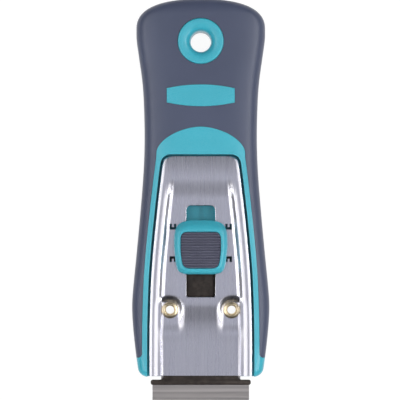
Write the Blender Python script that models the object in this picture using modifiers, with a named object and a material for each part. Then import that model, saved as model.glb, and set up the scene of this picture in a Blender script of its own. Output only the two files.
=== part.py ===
"""Metal scraper with a retractable single-edge blade, lying on its back.

+X is to the right of the face, +Y points to the hanging hole and +Z out of the face.
The origin is under the middle of the tool, on the surface that it lies on.
"""

import math

import bmesh
import bpy
from mathutils import Matrix

MM = 0.001

# Fits that every piece shares
FIT = 0.3 * MM
OVERRUN = 2.0 * MM
MERGE = 0.01 * MM

# Single-edge blade and its folded spine: the rest of the tool is sized round them
BLADE_HALF_WIDTH = 19.4 * MM
BLADE_LENGTH = 19.0 * MM
BLADE_REACH = 9.5 * MM
BLADE_THICKNESS = 0.25 * MM
BLADE_BEVEL = 0.9 * MM
NOTCH_DEPTH = 3.3 * MM
NOTCH_HALF_LENGTH = 1.3 * MM
SPINE_LENGTH = 3.3 * MM
SPINE_THICKNESS = 1.25 * MM
SPINE_LIP = 0.6 * MM

# Travel of the blade carriage and of the lock
STROKE_BACK = 13.0 * MM
STROKE_OUT = 9.0 * MM
STEM_PLAY = 0.4 * MM
PRESS_TRAVEL = 0.9 * MM

# Steel face plate
PLATE_BESIDE_BLADE = 1.2 * MM
PLATE_FROM_TIPS = 0.5 * MM
PLATE_GAP = 0.8 * MM
PLATE_THICKNESS = 0.6 * MM
PLATE_BELOW_CROWN = 1.2 * MM
PLATE_CORNER = 2.6 * MM
PLATE_SKIRT = 2.0 * MM
PLATE_BEND = 0.8 * MM
RAIL_WIDTH = 4.8 * MM
RAIL_EASE = 1.1 * MM
HEAD_LAND = 7.8 * MM
HEAD_RAMP = 3.2 * MM
FLOOR_BEHIND_SLOT = 8.7 * MM
MID_DROP = 0.8 * MM
LOW_DROP = 1.8 * MM
RAMP_FROM_SLOT = 1.4 * MM
RAMP_LENGTH = 12.0 * MM
PAD_SIDE = 2.4 * MM
PAD_STEP = 1.8 * MM
# Pairs of place along the plate, from its front edge, and half width
PLATE_OUTLINE_SHARES = [
    (0.0, 1.0), (0.157, 1.0), (0.303, 0.990), (0.449, 0.966), (0.596, 0.917),
    (0.742, 0.854), (0.889, 0.782), (1.0, 0.720),
]
PLATE_ROW_STEP = 5.0 * MM

# Brass eyelets and their washers
EYELET_FROM_RAIL = 3.45 * MM
EYELET_BORE_RADIUS = 1.7 * MM
EYELET_WALL = 0.5 * MM
EYELET_FLANGE_RADIUS = 3.1 * MM
EYELET_FLANGE = 0.6 * MM
EYELET_CLAMPS = 5.3 * MM
BOSS_SIDE_WALL = 1.55 * MM
BOSS_FRONT_WALL = 1.0 * MM
WASHER_RADIUS = 3.7 * MM
WASHER_THICKNESS = 0.6 * MM

# Blade carrier
CARRIER_THICKNESS = 0.8 * MM
CARRIER_ABOVE_BLADE = 0.7 * MM
CHANNEL_BELOW_CARRIER = 2.1 * MM
CHANNEL_SIDE_PLAY = 0.5 * MM
NECK_INSET = 4.4 * MM
SHOULDER_BEHIND_SPINE = 0.5 * MM
BAR_LENGTH = 2.1 * MM
BAR_SHOWS = 3.3 * MM
FLARE_LENGTH = 1.5 * MM
TAIL_BEHIND_STEM = 2.3 * MM
HOOK_WALL = 0.4 * MM
HOOK_FOOT = 1.2 * MM
HOOK_THICKNESS = 0.4 * MM

# Springs and the peg that ties the button to the carrier
PEG_HALF_LENGTH = 1.6 * MM
CLIP_MARGIN = 1.1 * MM
CLIP_THICKNESS = 0.3 * MM
SPRING_RADIUS = 1.3 * MM
SPRING_WIRE_RADIUS = 0.18 * MM
SPRING_TURNS = 5
SPRING_TURN_POINTS = 8
SPRING_BORE_GAP = 0.4 * MM
SPRING_BORE_DEPTH = 0.9 * MM
SPRING_FROM_PEG = 0.62 * MM
SPRING_BORE_RADIUS = SPRING_RADIUS + SPRING_WIRE_RADIUS + SPRING_BORE_GAP
SPRING_OFFSET = PEG_HALF_LENGTH + SPRING_FROM_PEG + SPRING_BORE_RADIUS

# Slot and lock windows in the plate
STEM_END_WALL = 0.92 * MM
STEM_SIDE_PLAY = 0.5 * MM
STEM_LENGTH = 2 * (SPRING_OFFSET + SPRING_BORE_RADIUS + STEM_END_WALL)
SLOT_LENGTH = STEM_LENGTH + STROKE_BACK + STROKE_OUT + 2 * STEM_PLAY
SLOT_INSIDE_RAMP = 0.8 * MM
SLOT_CORNER = 1.8 * MM
SLOT_BEHIND_EYELET = 5.3 * MM
WINDOW_BESIDE_SLIDER = 0.45 * MM
WINDOW_HALF_WIDTH = 1.35 * MM
WINDOW_HALF_HEIGHT = 1.15 * MM
TONGUE_HALF_WIDTH = 0.4 * MM
TONGUE_LENGTH = 1.3 * MM

# Thumb slider and its ribbed pad
SLIDER_BESIDE_SLOT = 4.95 * MM
SLIDER_AHEAD = 3.6 * MM
SLIDER_PAST_STEM = 0.25 * MM
SLIDER_SKIRT = 0.9 * MM
SLIDER_WAIST = 1.6 * MM
SLIDER_CREST = 0.7 * MM
SLIDER_WAIST_INSET = 0.6 * MM
SLIDER_CREST_INSET = 1.5 * MM
SLIDER_REST_GAP = 0.2 * MM
SLIDER_POWER = 4.4
SLIDER_TAPER_SHARE = 0.09
SLIDER_POINTS = 32
PAD_SIDE_RIM = 2.7 * MM
PAD_END_RIM = 3.45 * MM
PAD_BEHIND_SLIDER = 1.05 * MM
PAD_BASE = 0.6 * MM
PAD_SEAT_DEPTH = 1.3 * MM
RIB_COUNT = 14
RIB_HEIGHT = 0.4 * MM
RIB_SHARE = 0.5
SLIDER_HALF_LENGTH = STEM_LENGTH / 2 + SLIDER_AHEAD + SLIDER_PAST_STEM
PAD_HALF_LENGTH = SLIDER_HALF_LENGTH - PAD_END_RIM

# Lock plate and its teeth
LOCK_THICKNESS = 0.4 * MM
LOCK_HALF_WIDTH = 6.4 * MM
LOCK_MARGIN = 0.6 * MM
LOCK_ARM_HALF_LENGTH = 0.9 * MM
LOCK_ARM_REACH = 0.7 * MM
LOCK_TOOTH = 0.2 * MM
LOCK_OFFSET = 1.15 * MM

# Handle envelope
PALM_LENGTH = 51.2 * MM
HANDLE_TOP = 16.0 * MM
HEAD_CAP = 12.2 * MM
HEAD_CAP_END = 0.1 * MM
TIP_CORNER = 3.3 * MM
END_ROUND = 6.0 * MM
END_DROP = 3.6 * MM
TIP_DROP = 1.6 * MM
BACK_EDGE_REACH = 5.0 * MM
BELLY_LENGTH = 51.0 * MM
FLOOR_WALL = 3.4 * MM
BELLY_EASE_SHARE = 0.15
PARTING_SHARE = 0.42
HEAD_POWER = 2.5
CROWN_POWER = 4.0
# Pairs of place along the handle, from its tips, and half width
HANDLE_OUTLINE_SHARES = [
    (0.0, 0.895), (0.044, 0.931), (0.097, 0.967), (0.150, 0.993), (0.189, 1.0),
    (0.230, 0.987), (0.335, 0.931), (0.442, 0.877), (0.548, 0.833), (0.634, 0.819),
    (0.733, 0.832), (0.787, 0.855), (0.840, 0.895), (0.893, 0.935), (0.919, 0.938),
    (1.0, 0.938),
]
STATION_COUNT = 20
CROWN_POINTS = 7
EDGE_POINTS = 3

# Soft grip over the core, and where the core shows through it
GRIP_WALL = 2.2 * MM
GRIP_START = 7.8 * MM
GRIP_BESIDE_ARMS = 4.1 * MM
RING_RADIUS = 9.25 * MM
RING_FROM_END = 17.0 * MM
RING_HOLE_RADIUS = 4.1 * MM
RING_LAND = 1.65 * MM
RING_MOUTH_DEPTH = 4.0 * MM
RING_MOUTH_LIFT = 0.06 * MM
RING_BACK_EASE = 0.9 * MM
RING_BACK_DEPTH = 1.0 * MM
BADGE_HALF_WIDTH = 13.6 * MM
BADGE_HALF_HEIGHT = 4.4 * MM
BADGE_BOW = 1.5 * MM
ARCH_RISE = 11.9 * MM
ARCH_FOOT = 1.6 * MM
ARCH_POWER = 1.75
ARM_WIDTH = 2.1 * MM
PANEL_BEHIND_EYELET = 13.2 * MM
PANEL_ROUND = 18.0 * MM

# Widths that follow from the sizes above
EYELET_HOLE_RADIUS = EYELET_BORE_RADIUS + EYELET_WALL + FIT
PLATE_HALF_WIDTH = BLADE_HALF_WIDTH + PLATE_BESIDE_BLADE
HANDLE_HALF_WIDTH = PLATE_HALF_WIDTH + PLATE_GAP + ARM_WIDTH + GRIP_BESIDE_ARMS
BAR_HALF_WIDTH = BLADE_HALF_WIDTH + FIT + HOOK_WALL
NECK_HALF_WIDTH = BLADE_HALF_WIDTH - NECK_INSET
EYELET_SIDE = PLATE_HALF_WIDTH - RAIL_WIDTH - EYELET_FROM_RAIL
SHANK_HALF_WIDTH = EYELET_SIDE - EYELET_HOLE_RADIUS - BOSS_SIDE_WALL - CHANNEL_SIDE_PLAY
RAMP_HALF_WIDTH = EYELET_SIDE - EYELET_FLANGE_RADIUS - FIT - PAD_SIDE
SLOT_HALF_WIDTH = RAMP_HALF_WIDTH - SLOT_INSIDE_RAMP
STEM_HALF_WIDTH = SLOT_HALF_WIDTH - STEM_SIDE_PLAY
PEG_HALF_WIDTH = STEM_HALF_WIDTH / 2
SLIDER_HALF_WIDTH = SLOT_HALF_WIDTH + SLIDER_BESIDE_SLOT
PAD_HALF_WIDTH = SLIDER_HALF_WIDTH - PAD_SIDE_RIM
WINDOW_SIDE = SLIDER_HALF_WIDTH + WINDOW_BESIDE_SLIDER
RING_MOUTH_RADIUS = RING_RADIUS - RING_LAND
RING_BACK_RADIUS = RING_HOLE_RADIUS + RING_BACK_EASE
BADGE_END_HALF_HEIGHT = BADGE_HALF_HEIGHT - BADGE_BOW

# Lengths that follow, from the tips back
WELL_LENGTH = BLADE_LENGTH - BLADE_REACH + SHOULDER_BEHIND_SPINE + STROKE_BACK + FIT
EYELET_FROM_TIPS = WELL_LENGTH + BOSS_FRONT_WALL + EYELET_HOLE_RADIUS
SLOT_FROM_TIPS = EYELET_FROM_TIPS + SLOT_BEHIND_EYELET
PANEL_LENGTH = EYELET_FROM_TIPS + PANEL_BEHIND_EYELET
SLOT_FROM_PLATE = SLOT_FROM_TIPS - PLATE_FROM_TIPS
PLATE_LENGTH = SLOT_FROM_PLATE + SLOT_LENGTH + FLOOR_BEHIND_SLOT + HEAD_RAMP + HEAD_LAND
HANDLE_LENGTH = PLATE_FROM_TIPS + PLATE_LENGTH + ARCH_RISE + PALM_LENGTH
TOTAL_LENGTH = HANDLE_LENGTH + BLADE_REACH

# Places along Y
Y_TIPS = BLADE_REACH - TOTAL_LENGTH / 2
Y_END = TOTAL_LENGTH / 2
Y_RING = Y_END - RING_FROM_END
Y_PLATE = Y_TIPS + PLATE_FROM_TIPS
Y_PLATE_END = Y_PLATE + PLATE_LENGTH
Y_BADGE = (Y_PLATE_END + ARCH_RISE + Y_RING - RING_RADIUS) / 2
Y_SLOT = Y_TIPS + SLOT_FROM_TIPS
Y_EYELET = Y_TIPS + EYELET_FROM_TIPS
Y_RAMP = Y_SLOT - RAMP_FROM_SLOT
Y_STEM = Y_SLOT + STEM_PLAY + STROKE_OUT
Y_STEM_END = Y_STEM + STEM_LENGTH
Y_STEM_MIDDLE = (Y_STEM + Y_STEM_END) / 2
Y_LOCK = Y_STEM_MIDDLE - LOCK_OFFSET
Y_SLIDER = Y_STEM_MIDDLE + SLIDER_AHEAD
Y_EDGE = Y_TIPS - BLADE_REACH
Y_SPINE_END = Y_EDGE + BLADE_LENGTH
Y_SHOULDER = Y_SPINE_END + SHOULDER_BEHIND_SPINE
Y_BAR = Y_TIPS - BAR_SHOWS
Y_TAIL = Y_STEM_END + TAIL_BEHIND_STEM
Y_WELL_END = Y_TIPS + WELL_LENGTH

# Heights
Z_RAIL = HANDLE_TOP - PLATE_BELOW_CROWN
Z_MID = Z_RAIL - MID_DROP
Z_LOW = Z_MID - LOW_DROP
Z_LEDGE = Z_RAIL - PLATE_SKIRT - FIT
Z_LAND = Z_LOW - PLATE_THICKNESS - FIT
Z_CARRIER = Z_LAND - CARRIER_THICKNESS
Z_BLADE_TOP = Z_CARRIER - CARRIER_ABOVE_BLADE
Z_BLADE = Z_BLADE_TOP - BLADE_THICKNESS
Z_CHANNEL = Z_CARRIER - CHANNEL_BELOW_CARRIER
Z_SEAT = Z_LAND - EYELET_CLAMPS
Z_LOCK_TOP = Z_MID - PLATE_THICKNESS - FIT - LOCK_TOOTH
Z_LOCK = Z_LOCK_TOP - LOCK_THICKNESS
Z_STEM = Z_LOCK_TOP + FIT
Z_SLIDER = Z_MID + PRESS_TRAVEL + SLIDER_REST_GAP
Z_SLIDER_TOP = Z_SLIDER + SLIDER_SKIRT + SLIDER_WAIST + SLIDER_CREST
Z_PAD_SEAT = Z_SLIDER_TOP - PAD_SEAT_DEPTH
Z_CLIP_TOP = Z_CARRIER - FIT
Z_CLIP = Z_CLIP_TOP - CLIP_THICKNESS
FRONT_LIFT = Z_CHANNEL - FLOOR_WALL

CORE_COLOUR = (0.10, 0.47, 0.57, 1.0)
GRIP_COLOUR = (0.09, 0.10, 0.15, 1.0)
STEEL_COLOUR = (0.62, 0.62, 0.65, 1.0)
BLADE_COLOUR = (0.42, 0.40, 0.38, 1.0)
CARRIER_COLOUR = (0.06, 0.05, 0.045, 1.0)
BRASS_COLOUR = (0.72, 0.55, 0.22, 1.0)
SPRING_COLOUR = (0.45, 0.46, 0.48, 1.0)


# Scene, materials and collections

def clear_scene():
    for old in list(bpy.data.objects):
        bpy.data.objects.remove(old)


def new_collection(name):
    group = bpy.data.collections.new(name)
    bpy.context.scene.collection.children.link(group)
    return group


def make_material(name, colour, roughness, metallic):
    material = bpy.data.materials.new(name)
    material.use_nodes = True
    shader = material.node_tree.nodes["Principled BSDF"]
    shader.inputs["Base Color"].default_value = colour
    shader.inputs["Roughness"].default_value = roughness
    shader.inputs["Metallic"].default_value = metallic
    return material


def add_mesh(name, mesh):
    piece = bpy.data.objects.new(name, mesh)
    bpy.context.scene.collection.objects.link(piece)
    return piece


def finish_piece(piece, material):
    """Puts a finished sub-part in the scraper's collection, shaded smooth between its edges."""
    bpy.context.scene.collection.objects.unlink(piece)
    PARTS.objects.link(piece)
    piece.data.materials.append(material)
    piece.data.shade_smooth()
    piece.data.set_sharp_from_angle(angle=math.radians(30))
    return piece


def hide_cutter(cutter):
    if cutter.name in bpy.context.scene.collection.objects:
        bpy.context.scene.collection.objects.unlink(cutter)
        CUTTERS.objects.link(cutter)
    cutter.hide_render = True
    cutter.display_type = "WIRE"


# Booleans

def combine(target, other, operation):
    step = target.modifiers.new(other.name, "BOOLEAN")
    step.operation = operation
    step.solver = "EXACT"
    step.object = other
    hide_cutter(other)


def cut(target, *cutters):
    for cutter in cutters:
        combine(target, cutter, "DIFFERENCE")


def join(target, *others):
    for other in others:
        combine(target, other, "UNION")


def keep_inside(target, other):
    combine(target, other, "INTERSECT")


# Basic shapes

def block(name, low, high):
    size = [b - a for a, b in zip(low, high)]
    middle = [(a + b) / 2 for a, b in zip(low, high)]
    shape = bmesh.new()
    place = Matrix.Translation(middle) @ Matrix.Diagonal((*size, 1.0))
    bmesh.ops.create_cube(shape, size=1.0, matrix=place)
    mesh = bpy.data.meshes.new(name)
    shape.to_mesh(mesh)
    shape.free()
    return add_mesh(name, mesh)


def cylinder(name, radius, centre, low, high, segments=32):
    shape = bmesh.new()
    bmesh.ops.create_cone(
        shape, cap_ends=True, segments=segments, radius1=radius, radius2=radius,
        depth=high - low, matrix=Matrix.Translation((*centre, (low + high) / 2)))
    mesh = bpy.data.meshes.new(name)
    shape.to_mesh(mesh)
    shape.free()
    return add_mesh(name, mesh)


def mesh_from(piece, name):
    """A welded mesh object in the place of a curve or a modified object, which goes."""
    graph = bpy.context.evaluated_depsgraph_get()
    mesh = bpy.data.meshes.new_from_object(piece.evaluated_get(graph))
    shape = bmesh.new()
    shape.from_mesh(mesh)
    bmesh.ops.remove_doubles(shape, verts=shape.verts, dist=MERGE)
    bmesh.ops.recalc_face_normals(shape, faces=shape.faces)
    shape.to_mesh(mesh)
    shape.free()
    mesh.transform(piece.matrix_world)
    bpy.data.objects.remove(piece)
    return add_mesh(name, mesh)


def prism(name, outline, low, high):
    """A flat outline, given as x and y pairs, extruded between two heights."""
    curve = bpy.data.curves.new(name, "CURVE")
    curve.dimensions = "2D"
    curve.fill_mode = "BOTH"
    curve.extrude = (high - low) / 2
    spline = curve.splines.new("POLY")
    spline.points.add(len(outline) - 1)
    for point, (x, y) in zip(spline.points, outline):
        point.co = (x, y, 0.0, 1.0)
    spline.use_cyclic_u = True
    flat = add_mesh(name, curve)
    flat.location = (0.0, 0.0, (low + high) / 2)
    bpy.context.view_layer.update()
    return mesh_from(flat, name)


def turned(name, profile, centre, steps=20):
    """A closed profile of radius and height pairs, turned about a vertical axis."""
    mesh = bpy.data.meshes.new(name)
    shape = bmesh.new()
    points = [shape.verts.new((radius, 0.0, height)) for radius, height in profile]
    for first, second in zip(points, points[1:] + points[:1]):
        shape.edges.new((first, second))
    shape.to_mesh(mesh)
    shape.free()
    piece = add_mesh(name, mesh)
    piece.location = (*centre, 0.0)
    screw = piece.modifiers.new("turn", "SCREW")
    screw.steps = steps
    screw.render_steps = steps
    screw.use_merge_vertices = True
    screw.merge_threshold = MERGE
    bpy.context.view_layer.update()
    return mesh_from(piece, name)


def loft(name, rings):
    """A closed skin over rings that have as many points each, with flat ends."""
    shape = bmesh.new()
    rows = [[shape.verts.new(point) for point in ring] for ring in rings]
    for row, following in zip(rows, rows[1:]):
        for i in range(len(row)):
            j = (i + 1) % len(row)
            shape.faces.new((row[i], row[j], following[j], following[i]))
    shape.faces.new(list(reversed(rows[0])))
    shape.faces.new(rows[-1])
    bmesh.ops.recalc_face_normals(shape, faces=shape.faces)
    mesh = bpy.data.meshes.new(name)
    shape.to_mesh(mesh)
    shape.free()
    return add_mesh(name, mesh)


# Curves that several pieces follow

def ease(low, high, value):
    """Rises smoothly from 0 to 1 as the value goes from low to high."""
    share = min(1.0, max(0.0, (value - low) / (high - low)))
    return share * share * (3 - 2 * share)


def read_table(table, share):
    """A smooth curve through a table of pairs (Catmull-Rom on uneven places)."""
    share = min(table[-1][0], max(table[0][0], share))
    index = max(i for i in range(len(table) - 1) if table[i][0] <= share)
    (x0, y0), (x1, y1) = table[index], table[index + 1]
    before = table[max(index - 1, 0)]
    after = table[min(index + 2, len(table) - 1)]
    slope0 = (y1 - before[1]) / (x1 - before[0])
    slope1 = (after[1] - y0) / (after[0] - x0)
    span = x1 - x0
    t = (share - x0) / span
    rise = y0 * (1 + 2 * t) * (1 - t) ** 2 + y1 * t * t * (3 - 2 * t)
    return rise + span * (slope0 * t * (1 - t) ** 2 - slope1 * t * t * (1 - t))


def quarter_drop(share):
    """How far a quarter round has fallen, as the share goes from 0 to 1."""
    return 1 - math.sqrt(max(0.0, 1 - share * share))


def handle_half_width(y):
    width = HANDLE_HALF_WIDTH * read_table(HANDLE_OUTLINE_SHARES, (y - Y_TIPS) / HANDLE_LENGTH)
    into_cap = max(0.0, (y - (Y_END - HEAD_CAP)) / (HEAD_CAP + HEAD_CAP_END))
    width *= (1 - into_cap ** HEAD_POWER) ** (1 / HEAD_POWER)
    into_tip = max(0.0, (Y_TIPS + TIP_CORNER - y) / TIP_CORNER)
    return width - TIP_CORNER * quarter_drop(into_tip)


def belly_height(y):
    """The height of the underside, which lifts towards the tips."""
    share = max(0.0, (Y_TIPS + BELLY_LENGTH - y) / BELLY_LENGTH)
    soft = BELLY_EASE_SHARE
    return FRONT_LIFT * (math.hypot(share, soft) - soft) / (math.hypot(1.0, soft) - soft)


def end_drop(y):
    into_end = max(0.0, (y - (Y_END - END_ROUND)) / END_ROUND)
    into_tip = max(0.0, (Y_TIPS + TIP_CORNER - y) / TIP_CORNER)
    return END_DROP * quarter_drop(into_end) + TIP_DROP * quarter_drop(into_tip)


def handle_ring(y, offset):
    """One cross-section of the handle as x and z pairs, set in from the skin by the offset."""
    width = handle_half_width(y) - offset
    top = HANDLE_TOP - end_drop(y) - offset
    bottom = belly_height(y) + end_drop(y) + offset
    middle = bottom + PARTING_SHARE * (top - bottom)
    edge = min(BACK_EDGE_REACH, width / 2)
    half = [(width - edge, bottom)]
    for i in range(1, EDGE_POINTS + 1):
        angle = math.pi / 2 * i / EDGE_POINTS
        half.append((width - edge * (1 - math.sin(angle)),
                     middle - (middle - bottom) * math.cos(angle)))
    for i in range(1, CROWN_POINTS):
        angle = math.pi / 2 * i / CROWN_POINTS
        half.append((width * math.cos(angle) ** (2 / CROWN_POWER),
                     middle + (top - middle) * math.sin(angle) ** (2 / CROWN_POWER)))
    return half + [(0.0, top)] + [(-x, z) for x, z in reversed(half)]


def handle_stations():
    """Places along the handle: close together at its rounded ends, even between."""
    tip_rounds = [Y_TIPS + TIP_CORNER * (1 - math.cos(math.pi / 6 * i)) for i in range(4)]
    head = Y_END - HEAD_CAP
    head_rounds = [head + HEAD_CAP * math.sin(math.pi / 14 * i) for i in range(8)]
    start = tip_rounds[-1]
    step = (head - start) / STATION_COUNT
    return tip_rounds + [start + step * i for i in range(1, STATION_COUNT)] + head_rounds


def handle_envelope(name, offset):
    rings = []
    middle = (Y_TIPS + Y_END) / 2
    inset_share = 1 - 2 * offset / HANDLE_LENGTH
    for y in handle_stations():
        place = middle + (y - middle) * inset_share
        rings.append([(x, place, z) for x, z in handle_ring(y, offset)])
    return loft(name, rings)


def side_half_width(y):
    return PLATE_HALF_WIDTH * read_table(PLATE_OUTLINE_SHARES, (y - Y_PLATE) / PLATE_LENGTH)


def plate_half_width(y, grow=0.0):
    corner = PLATE_CORNER + grow
    into_corner = max(0.0, (y - (Y_PLATE_END + grow - corner)) / corner)
    return side_half_width(y - grow) + grow - corner * quarter_drop(min(1.0, into_corner))


def plate_outline(grow, front):
    """The plate's outline, grown or shrunk, with its front moved to a given place."""
    end = Y_PLATE_END + grow
    corner = PLATE_CORNER + grow
    count = round(PLATE_LENGTH / PLATE_ROW_STEP)
    places = [front + (end - corner - front) * i / count for i in range(count)]
    places += [end - corner + corner * math.sin(math.pi / 8 * i) for i in range(5)]
    right = [(plate_half_width(y, grow), y) for y in places]
    return right + [(-x, y) for x, y in reversed(right)]


def arm_outline(grow, front):
    """The outer edge of the teal arms and of the arch that joins them."""
    reach = PLATE_GAP + ARM_WIDTH + grow
    spring = Y_PLATE_END + ARCH_FOOT
    rise = ARCH_RISE - ARCH_FOOT + grow
    count = round(PLATE_LENGTH / PLATE_ROW_STEP)
    right = []
    for i in range(count):
        y = front + (spring - front) * i / count
        right.append((side_half_width(y) + reach, y))
    foot = side_half_width(spring) + reach
    for i in range(9):
        angle = math.pi / 16 * i
        right.append((foot * math.cos(angle) ** (2 / ARCH_POWER),
                      spring + rise * math.sin(angle) ** (2 / ARCH_POWER)))
    return right + [(-x, y) for x, y in reversed(right[:-1])]


def badge_outline(grow):
    """A barrel: straight ends, and long sides that bow outwards."""
    width = BADGE_HALF_WIDTH + grow
    right = []
    for i in range(7):
        share = i / 3 - 1
        bow = (BADGE_HALF_HEIGHT - BADGE_END_HALF_HEIGHT) * (1 - share * share)
        right.append((width * share, BADGE_END_HALF_HEIGHT + bow + grow))
    upper = [(x, Y_BADGE + y) for x, y in reversed(right)]
    lower = [(x, Y_BADGE - y) for x, y in right]
    return upper + lower


def panel_outline(grow):
    """The bare part of the core's underside: square at the tips and round behind."""
    width = HANDLE_HALF_WIDTH - GRIP_WALL - 2 * ARM_WIDTH + grow
    front = Y_TIPS - OVERRUN
    start = Y_TIPS + PANEL_LENGTH - PANEL_ROUND
    right = [(width, front)]
    for i in range(9):
        angle = math.pi / 16 * i
        right.append((width * math.cos(angle), start + (PANEL_ROUND + grow) * math.sin(angle)))
    return right + [(-x, y) for x, y in reversed(right[:-1])]


# Handle

def core_windows(tag, grow):
    """The shapes in which the core comes through the grip, as separate solids."""
    roof = HANDLE_TOP + OVERRUN
    waist = HANDLE_TOP * PARTING_SHARE
    front = Y_TIPS - OVERRUN
    return [
        cylinder("ring_" + tag, RING_RADIUS + grow, (0.0, Y_RING), -OVERRUN, roof, 40),
        prism("badge_" + tag, badge_outline(grow), waist, roof),
        prism("arms_" + tag, arm_outline(grow, front), waist, roof),
        prism("panel_" + tag, panel_outline(grow), -OVERRUN, waist + FIT),
        block("nose_" + tag, (-HANDLE_HALF_WIDTH - OVERRUN, front, -OVERRUN),
              (HANDLE_HALF_WIDTH + OVERRUN, Y_TIPS + GRIP_START + grow, roof)),
    ]


def hanging_hole():
    """A hole that opens in a soft funnel on the face and a small one on the back."""
    top = HANDLE_TOP + RING_MOUTH_LIFT
    profile = [(0.0, top + OVERRUN), (RING_MOUTH_RADIUS + OVERRUN, top + OVERRUN)]
    flare = RING_MOUTH_RADIUS - RING_HOLE_RADIUS
    for i in range(6):
        angle = math.pi / 10 * i
        profile.append((RING_HOLE_RADIUS + flare * (1 - math.sin(angle)),
                        top - RING_MOUTH_DEPTH * (1 - math.cos(angle))))
    profile += [(RING_HOLE_RADIUS, RING_BACK_DEPTH), (RING_BACK_RADIUS, 0.0),
                (RING_BACK_RADIUS, -OVERRUN), (0.0, -OVERRUN)]
    return solid_turned("hanging_hole", profile, (0.0, Y_RING))


def solid_turned(name, profile, centre, steps=32):
    """A profile that starts and ends on the axis, turned into a closed solid."""
    rings = []
    for radius, height in profile[1:-1]:
        ring = []
        for i in range(steps):
            angle = 2 * math.pi * i / steps
            ring.append((centre[0] + radius * math.cos(angle),
                         centre[1] + radius * math.sin(angle), height))
        rings.append(ring)
    return loft(name, rings)


def core_cavities():
    """The plate's pocket, the well for the blade and the channel for the carrier."""
    roof = HANDLE_TOP + OVERRUN
    front = Y_TIPS - OVERRUN
    pocket = prism("plate_pocket", plate_outline(PLATE_GAP, front), Z_LEDGE, roof)
    inner = PLATE_THICKNESS + PLATE_BEND + FIT
    land = prism("plate_land", plate_outline(-inner, front), Z_LAND, roof)
    well_side = BAR_HALF_WIDTH + FIT
    well = block("blade_well", (-well_side, front, Z_CHANNEL), (well_side, Y_WELL_END, roof))
    side = SHANK_HALF_WIDTH + CHANNEL_SIDE_PLAY
    channel = block("carrier_channel", (-side, front, Z_CHANNEL),
                    (side, Y_TAIL + STROKE_BACK + STEM_PLAY, roof))
    return [pocket, land, well, channel]


def eyelet_places():
    return [("left", -EYELET_SIDE), ("right", EYELET_SIDE)]


def eyelet_holes():
    holes = []
    for side, x in eyelet_places():
        holes.append(cylinder("eyelet_bore_" + side, EYELET_HOLE_RADIUS, (x, Y_EYELET), -OVERRUN,
                              HANDLE_TOP + OVERRUN, 24))
        holes.append(cylinder("washer_seat_" + side, WASHER_RADIUS + FIT, (x, Y_EYELET),
                              -OVERRUN, Z_SEAT, 28))
    return holes


def make_core():
    """The hard handle: an inner body, and the faces in which it shows through the grip."""
    shows = handle_envelope("core_faces", 0.0)
    first, *others = core_windows("window", 0.0)
    join(first, *others)
    keep_inside(shows, first)
    core = handle_envelope("handle_core", GRIP_WALL)
    join(core, shows)
    cut(core, *core_cavities(), hanging_hole(), *eyelet_holes())
    return finish_piece(core, make_material("core_plastic", CORE_COLOUR, 0.42, 0.0))


def make_grip():
    """The soft skin that is moulded round the core."""
    grip = handle_envelope("handle_grip", 0.0)
    cut(grip, handle_envelope("grip_inside", GRIP_WALL - FIT))
    cut(grip, *core_windows("clearance", FIT))
    return finish_piece(grip, make_material("grip_rubber", GRIP_COLOUR, 0.62, 0.0))


# Face plate

def floor_height(x, y):
    """The plate's floor: a raised land, a step down, and a lower floor with eyelet pads."""
    high = ease(Y_PLATE_END - HEAD_LAND - HEAD_RAMP, Y_PLATE_END - HEAD_LAND, y)
    middle = ease(Y_RAMP - RAMP_LENGTH, Y_RAMP, y)
    beside = ease(Y_RAMP - FIT, Y_RAMP - FIT + PAD_STEP, y)
    share = ease(RAMP_HALF_WIDTH, RAMP_HALF_WIDTH + PAD_SIDE, abs(x))
    level = middle * (1 - share) + beside * share
    return Z_LOW + LOW_DROP * level + MID_DROP * high


def plate_section(y):
    """Half of a cross-section, from the middle out, as x and height pairs."""
    width = plate_half_width(y)
    inside = width - RAIL_WIDTH
    floors = [0.0, RAMP_HALF_WIDTH / 2, RAMP_HALF_WIDTH, RAMP_HALF_WIDTH + PAD_SIDE, inside]
    half = [(x, floor_height(x, y)) for x in floors]
    edge = floor_height(inside, y)
    half.append((inside + RAIL_EASE * 0.6, (edge + Z_RAIL) / 2))
    half.append((inside + RAIL_EASE * 1.2, Z_RAIL))
    half.append((width - PLATE_BEND, Z_RAIL))
    half.append((width - PLATE_BEND * 0.3, Z_RAIL - PLATE_BEND * 0.3))
    half.append((width, Z_RAIL - PLATE_BEND))
    half.append((width, Z_RAIL - PLATE_SKIRT))
    return half


def plate_rows():
    """Places along the plate: even rows, and closer ones at its steps and its end."""
    steps = [Y_RAMP - RAMP_LENGTH, Y_RAMP - RAMP_LENGTH / 2, Y_RAMP - FIT,
             Y_RAMP - FIT + PAD_STEP / 2, Y_RAMP - FIT + PAD_STEP,
             Y_PLATE_END - HEAD_LAND - HEAD_RAMP, Y_PLATE_END - HEAD_LAND - HEAD_RAMP / 2,
             Y_PLATE_END - HEAD_LAND]
    last = Y_PLATE_END - PLATE_CORNER
    count = round(PLATE_LENGTH / PLATE_ROW_STEP)
    even = [Y_PLATE + (last - Y_PLATE) * i / count for i in range(count + 1)]
    clear = PLATE_ROW_STEP / 3
    rows = steps + [y for y in even if all(abs(y - s) > clear for s in steps)]
    corner = [last + (PLATE_CORNER - PLATE_BEND) * share for share in (0.5, 1.0)]
    return sorted(rows) + corner


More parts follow.
